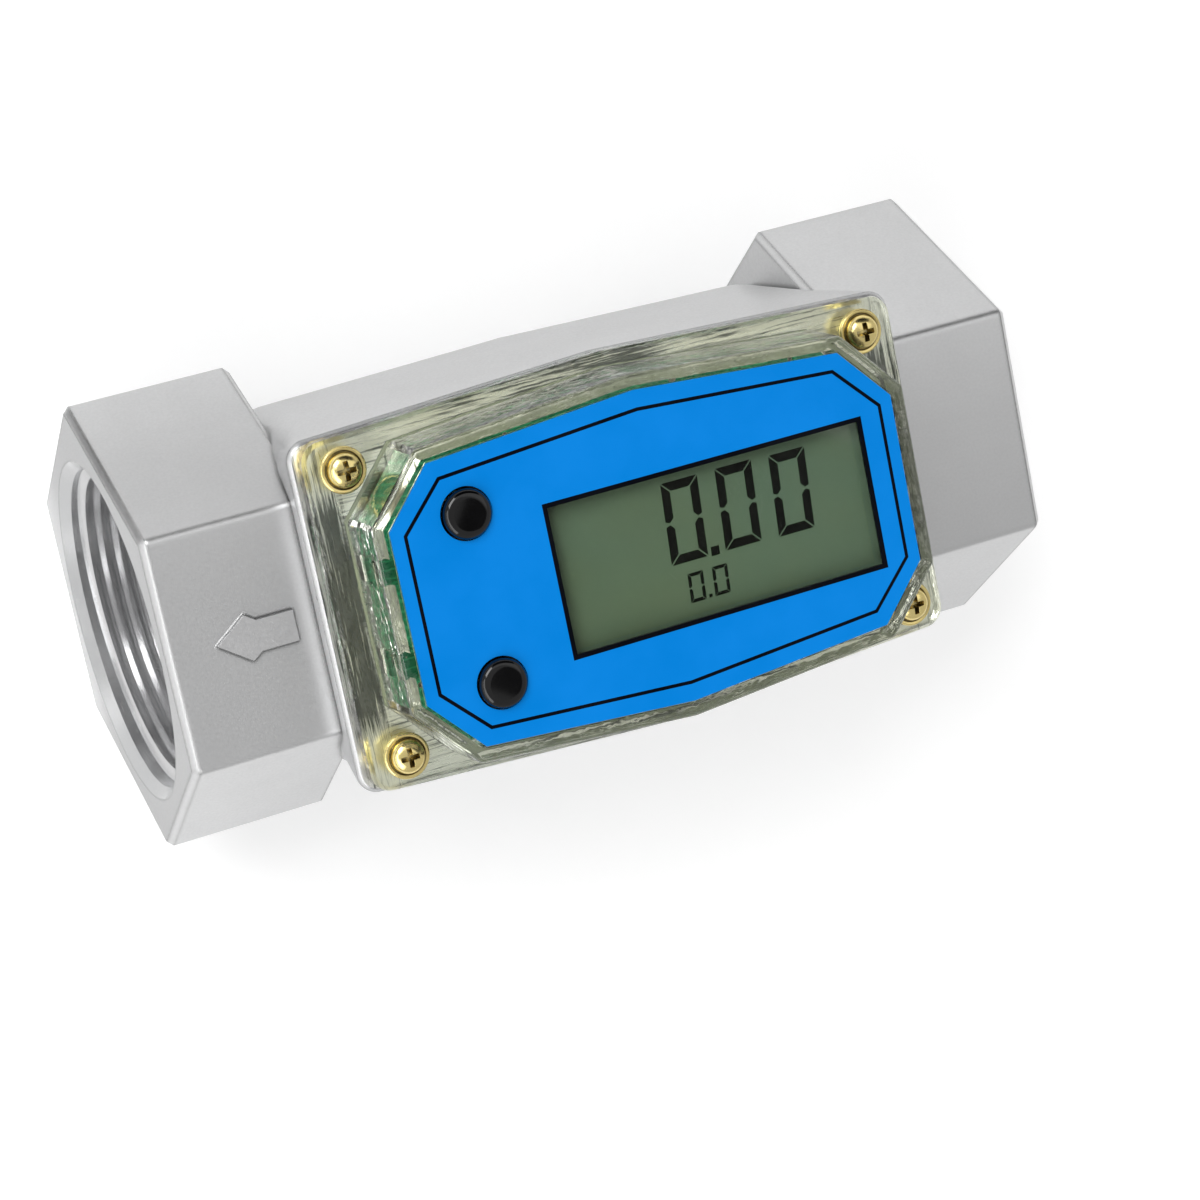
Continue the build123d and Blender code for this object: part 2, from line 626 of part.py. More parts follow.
def vane():
    """One radial vane with a roof-shaped leading edge, standing upwards from the axis."""
    half = VANE_THICKNESS / 2
    section = Polyline(
        (CHAMBER_HALF + PRESS_GAP, -half),
        (SEAT_END - VANE_ROOF, -half),
        (SEAT_END, 0),
        (SEAT_END - VANE_ROOF, half),
        (CHAMBER_HALF + PRESS_GAP, half),
        close=True,
    )
    return extrude(make_face(section), SEAT_RADIUS) & drum(SUPPORT_RADIUS, 0, HALF_LENGTH)


def support_hub():
    """Hub with the bush seat towards the rotor and a rounded nose away from it."""
    nose_end = SEAT_END - VANE_ROOF
    nose_start = nose_end - HUB_NOSE_LENGTH
    hub = drum(SUPPORT_HUB_RADIUS, BUSH_FACE, nose_start)
    hub = hub + loft([
        ALONG_X.offset(nose_start) * Circle(SUPPORT_HUB_RADIUS),
        ALONG_X.offset(nose_end) * Circle(VANE_THICKNESS / 2),
    ])
    hub = hub - drum(BUSH_FLANGE_RADIUS + PRESS_GAP, BUSH_FACE - 1, BUSH_FACE + BUSH_FLANGE_THICKNESS)
    hub = hub - drum(BUSH_RADIUS + PRESS_GAP, BUSH_FACE, BUSH_END)
    return hub - drum(SHAFT_RADIUS + THRUST_GAP, BUSH_END - 1, BUSH_END + SHAFT_END_GAP)


def seat_ring(end):
    """Tube that fits the seat, from the shoulder to an end."""
    start = CHAMBER_HALF + PRESS_GAP
    return drum(SUPPORT_RADIUS, start, end) - drum(SUPPORT_RADIUS - PAD_THICKNESS, start - 1, end + 1)


def vane_pad():
    """Curved foot of one vane, as long as the seat."""
    rim = make_face(Polyline(
        (CHAMBER_HALF + PRESS_GAP, SUPPORT_RADIUS - PAD_THICKNESS),
        (SEAT_END, SUPPORT_RADIUS - PAD_THICKNESS),
        (SEAT_END, SUPPORT_RADIUS),
        (CHAMBER_HALF + PRESS_GAP, SUPPORT_RADIUS),
        close=True,
    ))
    return Rot(90 - PAD_ANGLE / 2, 0, 0) * revolve(rim, Axis.X, PAD_ANGLE)


def support(feet):
    """Spider on the +X side: hub, vanes and what holds them in the seat."""
    spider = support_hub()
    for i in range(VANE_COUNT):
        turn = Rot(360 / VANE_COUNT * i, 0, 0)
        spider = spider + turn * vane()
        if feet:
            spider = spider + turn * vane_pad()
    bush_room = drum(BUSH_RADIUS + PRESS_GAP, CHAMBER_HALF - 1, BUSH_END)
    return spider - bush_room


def inlet_support():
    """Support at +X, whose vanes end in curved feet."""
    return support(feet=True)


def outlet_support():
    """Support at -X, whose vanes meet a ring against the chamber's shoulder."""
    ring = seat_ring(CHAMBER_HALF + PRESS_GAP + OUTLET_RING_LENGTH)
    return mirror(support(feet=False) + ring, ALONG_X)


def bush():
    """Flanged bearing bush on the +X side."""
    outer = drum(BUSH_RADIUS, BUSH_FACE, BUSH_END)
    flange = drum(BUSH_FLANGE_RADIUS, BUSH_FACE, BUSH_FACE + BUSH_FLANGE_THICKNESS)
    return outer + flange - drum(SHAFT_RADIUS + SHAFT_RUNNING_GAP, BUSH_FACE - 1, BUSH_END + 1)


def rotor_blade():
    """Twisted blade that tapers from root to tip, standing upwards from the axis."""
    root = ROTOR_HUB_RADIUS - BLADE_ROOT_THICKNESS / 2
    section = Polyline(
        (-BLADE_ROOT_THICKNESS / 2, root),
        (BLADE_ROOT_THICKNESS / 2, root),
        (BLADE_TIP_THICKNESS / 2, CHAMBER_RADIUS),
        (-BLADE_TIP_THICKNESS / 2, CHAMBER_RADIUS),
        close=True,
    )
    start = ALONG_X.offset(-BLADE_LENGTH / 2)
    face = start * Rot(0, 0, -BLADE_TWIST / 2) * make_face(section)
    twisted = Solid.extrude_linear_with_rotation(
        face.face(), start.origin, (BLADE_LENGTH, 0, 0), BLADE_TWIST)
    return twisted & drum(BLADE_RADIUS, -BLADE_LENGTH, BLADE_LENGTH)


def rotor():
    """Turbine wheel: bevelled hub, twisted blades, shaft bore, and magnet wells midway between blades."""
    half = ROTOR_HUB_LENGTH / 2
    wheel = chamfer(drum(ROTOR_HUB_RADIUS, -half, half).edges(), BLADE_TIP_THICKNESS / 2)
    for i in range(BLADE_COUNT):
        wheel = wheel + Rot(360 / BLADE_COUNT * (i + 0.5), 0, 0) * rotor_blade()
    wheel = wheel - drum(SHAFT_RADIUS + PRESS_GAP, -half - 1, half + 1)
    for turn in MAGNET_TURNS:
        well = peg(MAGNET_RADIUS + PRESS_GAP, 0, 0, ROTOR_HUB_RADIUS - MAGNET_LENGTH, CHAMBER_RADIUS)
        wheel = wheel - Rot(turn, 0, 0) * well
    return wheel


def rotor_magnets():
    """Two round magnets, flush with the hub."""
    low = ROTOR_HUB_RADIUS - MAGNET_LENGTH
    magnet = peg(MAGNET_RADIUS, 0, 0, low, ROTOR_HUB_RADIUS - PRESS_GAP)
    return [Rot(turn, 0, 0) * magnet for turn in MAGNET_TURNS]


def rotor_shaft():
    """Steel shaft pressed in the rotor, running in both bushes."""
    shaft = drum(SHAFT_RADIUS, -BUSH_END, BUSH_END)
    return chamfer(shaft.edges(), SHAFT_RADIUS / 4)


def retaining_ring():
    """Internal ring on the +X side, open between its two eyes."""
    centre = radians(EYE_ANGLE)
    far = 2 * RING_GROOVE_RADIUS
    spread = radians(EYE_SPREAD)
    gap = make_face(Polyline(
        (0, 0),
        (far * cos(centre - spread), far * sin(centre - spread)),
        (far * cos(centre + spread), far * sin(centre + spread)),
        close=True,
    ))
    flat = Circle(RING_GROOVE_RADIUS - RING_PLAY) - Circle(RING_INNER_RADIUS) - gap
    for turn in (centre - spread, centre + spread):
        place = Pos(EYE_PLACE_RADIUS * cos(turn), EYE_PLACE_RADIUS * sin(turn))
        flat = flat + place * Circle(EYE_RADIUS) - place * Circle(EYE_HOLE_RADIUS)
    return extrude(ALONG_X.offset(RING_IN) * flat, RING_THICKNESS)


def write(name, *pieces):
    """Lift a sub-part from the bore axis to its height and write it as one STEP file."""
    lift = Pos(0, 0, AXIS_HEIGHT)
    solids = [lift * solid for piece in pieces for solid in piece.solids()]
    export_step(solids[0] if len(solids) == 1 else Compound(solids), f"parts/{name}.step")


def main():
    """Build every sub-part and write it."""
    os.makedirs("parts", exist_ok=True)
    write("meter_body", meter_body())
    write("clear_cover", clear_cover())
    write("cover_gasket", cover_gasket())
    write("cover_screws", *[cover_screw(x, y) for x, y in screw_places()])
    write("face_label", face_label())
    write("lcd_panel", lcd_panel())
    write("lcd_bezel", lcd_bezel())
    write("lcd_connectors", *lcd_connectors())
    write("circuit_board", circuit_board())
    write("controller_chip", controller_chip())
    for name, y in (("calibrate", BUTTON_Y), ("display", -BUTTON_Y)):
        write(f"{name}_switch", tact_switch(y))
        write(f"{name}_plunger", tact_plunger(y))
        write(f"{name}_button", button_cap(y))
    write("battery_holder", battery_holder())
    write("battery_cells", *battery_cells())
    write("battery_contacts", *battery_contacts())
    write("hall_sensor", hall_sensor())
    write("sensor_leads", *sensor_leads())
    write("inlet_support", inlet_support())
    write("outlet_support", outlet_support())
    write("inlet_bush", bush())
    write("outlet_bush", mirror(bush(), ALONG_X))
    write("rotor", rotor())
    write("rotor_magnets", *rotor_magnets())
    write("rotor_shaft", rotor_shaft())
    ring = retaining_ring()
    write("inlet_retaining_ring", ring)
    write("outlet_retaining_ring", mirror(ring, ALONG_X))


main()
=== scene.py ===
import logging
from dataclasses import dataclass
from enum import Enum
from math import cos, pi, radians, sin
from typing import Sequence

import bpy
from mathutils import Matrix, Vector


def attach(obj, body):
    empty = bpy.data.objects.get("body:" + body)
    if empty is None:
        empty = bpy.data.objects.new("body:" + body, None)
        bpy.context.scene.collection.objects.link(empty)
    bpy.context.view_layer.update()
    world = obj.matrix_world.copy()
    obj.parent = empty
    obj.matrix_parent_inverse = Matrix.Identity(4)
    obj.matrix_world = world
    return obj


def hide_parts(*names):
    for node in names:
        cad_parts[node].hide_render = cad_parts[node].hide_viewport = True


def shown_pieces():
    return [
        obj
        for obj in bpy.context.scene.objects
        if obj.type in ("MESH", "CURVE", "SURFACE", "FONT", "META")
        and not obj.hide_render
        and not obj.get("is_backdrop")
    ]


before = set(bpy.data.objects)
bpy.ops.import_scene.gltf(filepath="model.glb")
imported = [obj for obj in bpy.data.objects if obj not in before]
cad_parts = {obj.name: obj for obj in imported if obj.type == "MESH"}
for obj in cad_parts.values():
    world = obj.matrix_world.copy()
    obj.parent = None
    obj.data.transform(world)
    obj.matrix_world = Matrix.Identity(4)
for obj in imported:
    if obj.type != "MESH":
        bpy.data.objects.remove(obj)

LOG = logging.getLogger("flow_meter")
MM = 0.001  # lengths below are in millimetres, unless they say otherwise
AXIS_HEIGHT = 29.0
RIM_HEIGHT = 62.8
WHITE = (1.0, 1.0, 1.0, 1.0)
BLACK = (0.0, 0.0, 0.0, 1.0)
EDGE_SAMPLES = 6
OCTAVE_SHARE = 0.55  # strength of each finer octave of a noise
EDGE_BEND = (0.998, 0.93)  # cosine of the bend where a rounded edge starts, and where it is full
Piece = bpy.types.Object
Socket = bpy.types.NodeSocket
Point = tuple[float, float]
Colour = tuple[float, float, float]
Triple = tuple[float, float, float]


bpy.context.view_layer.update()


def times(colour: Colour, factor: float, lift: float = 0.0) -> Colour:
    """Colour times a factor, plus a constant."""
    return tuple(channel * factor + lift for channel in colour)


class Slot(Enum):
    """Names of material slots; declare takes one with each piece but does not use it."""

    CAST = "cast_aluminium"
    CLEAR = "clear_cover"
    ZINC = "yellow_zinc"
    BLUE = "blue_faceplate"
    LCD = "lcd_glass"
    BUTTON = "button_black"
    TURBINE = "turbine_black"
    RING = "ring_steel"


class Body(Enum):
    """Bodies of the frame that pieces ride on."""

    HOUSING = "housing"
    TURBINE = "turbine"
    CALIBRATE = "calibrate_key"
    DISPLAY = "display_key"


class Graph:
    """Node graph of one material, with the object's coordinates at hand."""

    def __init__(self, name: str) -> None:
        """Start an empty graph with a Principled shader on the output.

        Args:
            name: Name of the material.
        """
        self.material = bpy.data.materials.new(name)
        self.material.use_nodes = True
        self.tree = self.material.node_tree
        self.tree.nodes.clear()
        self.output = self.add("ShaderNodeOutputMaterial")
        self.place = self.add("ShaderNodeTexCoord").outputs["Object"]
        self.shader = self.add("ShaderNodeBsdfPrincipled")
        self.join(self.shader.outputs[0], self.output.inputs["Surface"])

    def add(self, kind: str, inputs: dict | None = None, **settings: object) -> bpy.types.Node:
        """Add a node.

        Args:
            kind: Type of the node.
            inputs: Sockets or constants by the name or number of the input.
            settings: Properties of the node by name.

        Returns:
            The node.
        """
        node = self.tree.nodes.new(kind)
        for name, value in settings.items():
            setattr(node, name, value)
        for key, value in (inputs or {}).items():
            self.join(value, node.inputs[key])
        return node

    def join(self, source: object, target: Socket) -> None:
        """Feed a socket from another socket, or with a constant.

        Args:
            source: Output socket or plain value.
            target: Input socket.
        """
        if isinstance(source, Socket):
            self.tree.links.new(source, target)
        else:
            target.default_value = source

    def surface(self, **values: object) -> None:
        """Feed inputs of the Principled shader, named with underscores for spaces."""
        for name, value in values.items():
            self.join(value, self.shader.inputs[name.replace("_", " ")])

    def stretched(self, scale: Triple) -> Socket:
        """Object coordinates times a factor along each axis."""
        return self.add("ShaderNodeMapping", {"Vector": self.place, "Scale": scale}).outputs[0]

    def noise(self, size: float, detail: float = 3.0, along: Triple = (1.0, 1.0, 1.0)) -> Socket:
        """Noise with features of a real size.

        Args:
            size: Size of the features.
            detail: Octaves of the noise.
            along: Stretch per axis, below 1 to draw the features out.

        Returns:
            The noise's value.
        """
        return self.add("ShaderNodeTexNoise", {
            "Vector": self.stretched(along), "Scale": 1.0 / (size * MM), "Detail": detail,
            "Roughness": OCTAVE_SHARE,
        }).outputs[0]

    def ramp(self, value: object, start: float, end: float, low: float = 0.0, high: float = 1.0) -> Socket:
        """Value that goes from low to high as the given one goes from start to end, clamped."""
        return self.add("ShaderNodeMapRange", dict(enumerate((value, start, end, low, high)))).outputs[0]

    def blend(self, factor: object, first: object, second: object) -> Socket:
        """Mix two colours.

        Args:
            factor: Share of the second colour.
            first: First colour as a socket or three numbers.
            second: Second colour as a socket or three numbers.

        Returns:
            The mixed colour.
        """
        node = self.add("ShaderNodeMix", {0: factor}, data_type="RGBA")
        for value, target in ((first, node.inputs[6]), (second, node.inputs[7])):
            self.join(value if isinstance(value, Socket) else (*value, 1.0), target)
        return node.outputs[2]

    def sum(self, kind: str, first: object, second: object = 0.0) -> Socket:
        """Result of one operation of the Math node."""
        return self.add("ShaderNodeMath", {0: first, 1: second}, operation=kind).outputs[0]

    def parts(self) -> tuple[Socket, ...]:
        """Object coordinates split into X, Y and Z."""
        return tuple(self.add("ShaderNodeSeparateXYZ", {0: self.place}).outputs)

    def away(self) -> tuple[Socket, ...]:
        """Distances from the meter's middle along X, Y and Z."""
        return tuple(self.sum("ABSOLUTE", value) for value in self.parts())

    def bump(self, height: object, depth: float, strength: float = 1.0, normal: object = None) -> Socket:
        """Normal bent by a height.

        Args:
            height: Height from 0 to 1.
            depth: Depth of the relief.
            strength: Strength of the effect.
            normal: Normal to start from, if not the surface's own.

        Returns:
            The bent normal.
        """
        inputs = {"Strength": strength, "Distance": depth * MM, "Height": height}
        if normal is not None:
            inputs["Normal"] = normal
        return self.add("ShaderNodeBump", inputs).outputs[0]

    def openness(self, reach: float) -> Socket:
        """How open the place is: 1 on a plain face, less where a wall is within reach."""
        kind, inputs = "ShaderNodeAmbientOcclusion", {"Distance": reach * MM}
        return self.add(kind, inputs, samples=EDGE_SAMPLES, only_local=True).outputs["AO"]

    def rounded(self, radius: float) -> Socket:
        """Normal that rounds the edges by a radius."""
        return self.add("ShaderNodeBevel", {"Radius": radius * MM}, samples=EDGE_SAMPLES).outputs[0]

    def flatness(self, rounded: Socket) -> Socket:
        """1 on a plain face, down to 0 on its rounded edges.

        Args:
            rounded: Normal that rounds the edges.

        Returns:
            The value.
        """
        plain = self.add("ShaderNodeNewGeometry").outputs["Normal"]
        node = self.add("ShaderNodeVectorMath", {0: rounded, 1: plain}, operation="DOT_PRODUCT")
        return self.ramp(node.outputs["Value"], *EDGE_BEND, 1.0, 0.0)


class Finish:
    """Finish of a surface, which makes its material."""

    def make(self, name: str) -> bpy.types.Material:
        """Build the material.

        Args:
            name: Name of the material.

        Returns:
            The material.
        """
        graph = Graph(name)
        self.paint(graph)
        return graph.material

    def paint(self, graph: Graph) -> None:
        """Connect the nodes; each finish does it its own way."""
        raise NotImplementedError


@dataclass(frozen=True)
class Metal(Finish):
    """Bare metal with grain, soft stains and, where it is turned or drawn, streaks; painted shade darkens its
    crevices and its rounded edges.
    """

    colour: Colour
    roughness: float = 0.35
    grain: float = 0.35
    relief: float = 0.012
    stain: float = 0.12
    streak: Triple = (1.0, 1.0, 1.0)
    edge: float = 0.0
    speckle: float = 0.3
    # reach of the painted shade in crevices, 0 for none
    crevice_shade_reach: float = 0.0
    polish: float = 0.4
    # share of the painted shade on rounded edges
    edge_shade_share: float = 0.0
    cloud: float = 14.0
    speckled: float = 0.72
    # colour of the painted shade in crevices
    crevice_shade_colour: Colour = (0.08, 0.08, 0.08)
    # colour of the painted shade on rounded edges
    film: Colour = (0.06, 0.06, 0.06)

    def paint(self, graph: Graph) -> None:
        """Connect the nodes.

        Args:
            graph: Graph to fill.
        """
        fine = graph.noise(self.grain, 4.0, self.streak)
        cloud = graph.noise(self.cloud, 4.0)
        shade = graph.blend(
            graph.ramp(cloud, 0.32, 0.68), times(self.colour, 1.0 - self.stain), self.colour)
        speckle = graph.ramp(fine, 0.3, 0.7, 0.0, self.speckle)
        shade = graph.blend(speckle, shade, times(self.colour, self.speckled))
        # painted shade: the colour darkens in crevices and corners, where walls are within reach
        if self.crevice_shade_reach:
            closed = graph.ramp(graph.openness(self.crevice_shade_reach), 0.9, 0.35, 0.0, 0.75)
            shade = graph.blend(closed, shade, self.crevice_shade_colour)
        rough = graph.ramp(fine, 0.25, 0.75, self.roughness * 0.82, self.roughness * 1.18)
        start = graph.rounded(self.edge) if self.edge else None
        if self.edge:
            flat = graph.flatness(start)
            rough = graph.sum("MULTIPLY", rough, graph.ramp(flat, 0.0, 1.0, self.polish, 1.0))
            # painted shade: the colour darkens on rounded edges
            shade = graph.blend(graph.ramp(flat, 0.0, 1.0, self.edge_shade_share, 0.0), shade, self.film)
        coarse = graph.bump(graph.noise(self.grain * 6, 2.0, self.streak), self.relief * 2, 0.5, start)
        graph.surface(
            Base_Color=shade, Metallic=1.0, Roughness=rough,
            Normal=graph.bump(fine, self.relief, 0.8, coarse),
        )


@dataclass(frozen=True)
class MilledRim(Finish):
    """Flat rim under the clear flange: streaks, part milling marks and part painted reflection, and painted
    shade at its ends between the screws and at mid-length.
    """

    light: Colour = (0.92, 0.92, 0.87)
    dark: Colour = (0.06, 0.07, 0.06)
    ends: Point = (40.0, 41.5)
    shaded: Point = (43.4, 46.4)
    between_screws: Point = (14.0, 19.0)
    middle: Point = (6.0, 28.0)
    # strength of the painted shade at the ends and at mid-length
    depth: Point = (0.26, 0.13)
    grain: float = 1.1
    along: float = 0.12
    across: float = 3.0

    def paint(self, graph: Graph) -> None:
        """Connect the nodes.

        Args:
            graph: Graph to fill.
        """
        away, aside, _ = graph.away()
        at_end = graph.ramp(away, self.ends[0] * MM, self.ends[1] * MM)
        sides = graph.noise(self.grain, 3.0, (self.along, self.across, 1.0))
        ends = graph.noise(self.grain, 3.0, (self.across, self.along, 1.0))
        streaks = graph.sum(
            "ADD", graph.sum("MULTIPLY", ends, at_end),
            graph.sum("MULTIPLY", sides, graph.sum("SUBTRACT", 1.0, at_end)))
        # painted shade at the ends, between the screws, and at mid-length
        near_end = graph.ramp(away, self.shaded[0] * MM, self.shaded[1] * MM, self.depth[0], 0.0)
        inside = graph.ramp(aside, self.between_screws[0] * MM, self.between_screws[1] * MM, 1.0, 0.0)
        middle = graph.ramp(away, self.middle[0] * MM, self.middle[1] * MM, self.depth[1], 0.0)
        painted_rim_shade = graph.sum(
            "MAXIMUM", graph.sum("MULTIPLY", graph.sum("MULTIPLY", near_end, inside), at_end), middle)
        # streaks, part milling marks and part painted reflection, and the painted shade darken the rim
        darkness = graph.ramp(graph.sum("ADD", streaks, painted_rim_shade), 0.53, 0.68, 0.0, 0.92)
        graph.surface(
            Base_Color=graph.blend(darkness, self.light, self.dark), Metallic=1.0,
            Roughness=graph.ramp(streaks, 0.3, 0.7, 0.24, 0.4),
            Normal=graph.bump(streaks, 0.05, 0.6),
        )


@dataclass(frozen=True)
class Plastic(Finish):
    """Moulded or printed plastic, or rubber, with a fine texture and a little wear."""

    colour: Colour
    roughness: float = 0.4
    texture: float = 0.25
    relief: float = 0.006
    coat: float = 0.0
    variation: float = 0.1
    edge: float = 0.0
    gloss: float = 0.5

    def paint(self, graph: Graph) -> None:
        """Connect the nodes.

        Args:
            graph: Graph to fill.
        """
        fine = graph.noise(self.texture, 3.0)
        cloud = graph.noise(9.0, 3.0)
        light = times(self.colour, 1.0 + self.variation, 0.002)
        dark = times(self.colour, 1.0 - self.variation)
        start = graph.rounded(self.edge) if self.edge else None
        graph.surface(
            Base_Color=graph.blend(graph.ramp(cloud, 0.35, 0.65), dark, light),
            Roughness=graph.ramp(fine, 0.25, 0.75, self.roughness * 0.85, self.roughness * 1.15),
            Coat_Weight=self.coat, Coat_Roughness=0.05, Specular_IOR_Level=self.gloss,
            Normal=graph.bump(fine, self.relief, 0.6, start),
        )


@dataclass(frozen=True)
class ClearPlastic(Finish):
    """Clear moulded plastic with a faint tint, flow marks and light that reaches what is under it."""

    tint: Colour = (0.965, 0.985, 0.93)
    index: float = 1.5
    haze: float = 0.035
    wave: float = 1.6
    wave_depth: float = 0.22
    wavy_x: Point = (37.5, 39.5)
    wavy_y: Point = (19.5, 22.5)

    def paint(self, graph: Graph) -> None:
        """Connect the nodes.

        Args:
            graph: Graph to fill.
        """
        flow = graph.noise(16.0, 2.0, (0.5, 1.0, 1.0))
        fine = graph.noise(0.8, 3.0)
        outside = graph.sum("MAXIMUM", *(
            graph.ramp(value, start * MM, end * MM)
            for value, (start, end) in zip(graph.away(), (self.wavy_x, self.wavy_y))))
        waves = graph.sum("MULTIPLY", graph.noise(self.wave, 2.0, (0.6, 0.6, 1.0)), outside)
        warm = (self.tint[0], self.tint[1] * 0.985, self.tint[2] * 0.93)
        graph.surface(
            Base_Color=graph.blend(graph.ramp(flow, 0.35, 0.65), self.tint, warm),
            Roughness=graph.ramp(fine, 0.3, 0.7, self.haze * 0.6, self.haze * 1.6),
            Transmission_Weight=1.0, IOR=self.index,
            Normal=graph.bump(waves, self.wave_depth, 0.8, graph.bump(flow, 0.05, 0.35)),
        )
        either = graph.add("ShaderNodeMixShader", {
            0: graph.add("ShaderNodeLightPath").outputs["Is Shadow Ray"],
            1: graph.shader.outputs[0],
            2: graph.add("ShaderNodeBsdfTransparent", {0: (*self.tint, 1.0)}).outputs[0],
        })
        graph.join(either.outputs[0], graph.output.inputs["Surface"])


@dataclass(frozen=True)
class Board(Finish):
    """Circuit board: green solder mask over fine copper tracks, with tinned pads."""

    mask: Colour = (0.012, 0.115, 0.058)
    copper: Colour = (0.03, 0.24, 0.12)
    pitch: float = 1.27
    tin: Colour = (0.62, 0.60, 0.52)
    pad_grid: float = 2.6

    def paint(self, graph: Graph) -> None:
        """Connect the nodes.

        Args:
            graph: Graph to fill.
        """
        tracks = graph.add("ShaderNodeTexBrick", {
            "Vector": graph.place, "Scale": 1.0 / (self.pitch * MM),
            "Color1": BLACK, "Color2": BLACK, "Mortar": WHITE, "Mortar Size": 0.11, "Brick Width": 5.5,
            "Row Height": 1.0,
        }, offset=0.5, squash=1.0)
        dots = graph.add("ShaderNodeTexVoronoi", {
            "Vector": graph.place, "Scale": 1.0 / (self.pad_grid * MM)})
        pads = graph.ramp(dots.outputs["Distance"], 0.17, 0.14)
        weave = graph.noise(0.4, 2.0)
        mask = graph.blend(graph.ramp(weave, 0.3, 0.7), self.mask, times(self.mask, 1.35))
        lines = graph.blend(tracks.outputs["Color"], mask, self.copper)
        graph.surface(
            Base_Color=graph.blend(pads, lines, self.tin), Metallic=pads,
            Roughness=graph.ramp(weave, 0.3, 0.7, 0.24, 0.36),
            Normal=graph.bump(tracks.outputs["Color"], 0.03, 0.6),
        )


@dataclass(frozen=True)
class Display(Finish):
    """Reflective liquid-crystal panel: olive film with fine speckle, darker towards its frame."""

    colour: Colour = (0.073, 0.111, 0.083)
    middle: Point = (8.35, -0.75)
    half: Point = (24.15, 10.55)
    shadow_width: float = 0.8
    shadow: float = 0.4

    def paint(self, graph: Graph) -> None:
        """Connect the nodes.

        Args:
            graph: Graph to fill.
        """
        x, y, _ = graph.parts()
        shades = []
        for value, centre, half in zip((x, y), self.middle, self.half):
            away = graph.sum("ABSOLUTE", graph.sum("SUBTRACT", value, centre * MM))
            shades.append(graph.ramp(away, (half - self.shadow_width) * MM, half * MM))
        rim = graph.sum("MAXIMUM", *shades)
        speckle = graph.noise(0.18, 2.0)
        cloud = graph.noise(22.0, 2.0)
        dark = times(self.colour, 0.62)
        warm = (self.colour[0] * 1.08, self.colour[1], self.colour[2] * 0.94)
        film = graph.blend(graph.ramp(cloud, 0.35, 0.65), self.colour, warm)
        film = graph.blend(graph.ramp(speckle, 0.35, 0.7, 0.0, 0.16), film, dark)
        graph.surface(
            Base_Color=graph.blend(graph.sum("MULTIPLY", rim, self.shadow), film, dark),
            Roughness=graph.ramp(speckle, 0.3, 0.7, 0.42, 0.55), Normal=graph.bump(speckle, 0.004, 0.4),
            Specular_IOR_Level=0.06,
        )


@dataclass(frozen=True)
class Jacket(Finish):
    """Printed sleeve of a cell: bands along its length, with bare ends."""

    sleeve: Colour = (0.02, 0.028, 0.035)
    band: Colour = (0.55, 0.36, 0.10)
    half_length: float = 21.75
    band_start: float = 12.0
    cap: float = 1.2
    steel: Colour = (0.62, 0.61, 0.58)

    def paint(self, graph: Graph) -> None:
        """Connect the nodes.

        Args:
            graph: Graph to fill.
        """
        away = graph.away()[0]
        banded = graph.sum("GREATER_THAN", away, self.band_start * MM)
        bare = graph.sum("GREATER_THAN", away, (self.half_length - self.cap) * MM)
        scuff = graph.noise(1.2, 4.0, (0.3, 1.0, 1.0))
        print_colour = graph.blend(banded, self.sleeve, self.band)
        worn = graph.blend(graph.ramp(scuff, 0.55, 0.8, 0.0, 0.25), print_colour, (0.4, 0.4, 0.4))
        graph.surface(
            Base_Color=graph.blend(bare, worn, self.steel),
            Metallic=graph.ramp(graph.sum("MAXIMUM", banded, bare), 0.0, 1.0, 0.2, 0.9),
            Roughness=graph.ramp(scuff, 0.3, 0.7, 0.24, 0.4), Normal=graph.bump(scuff, 0.01, 0.4),
        )


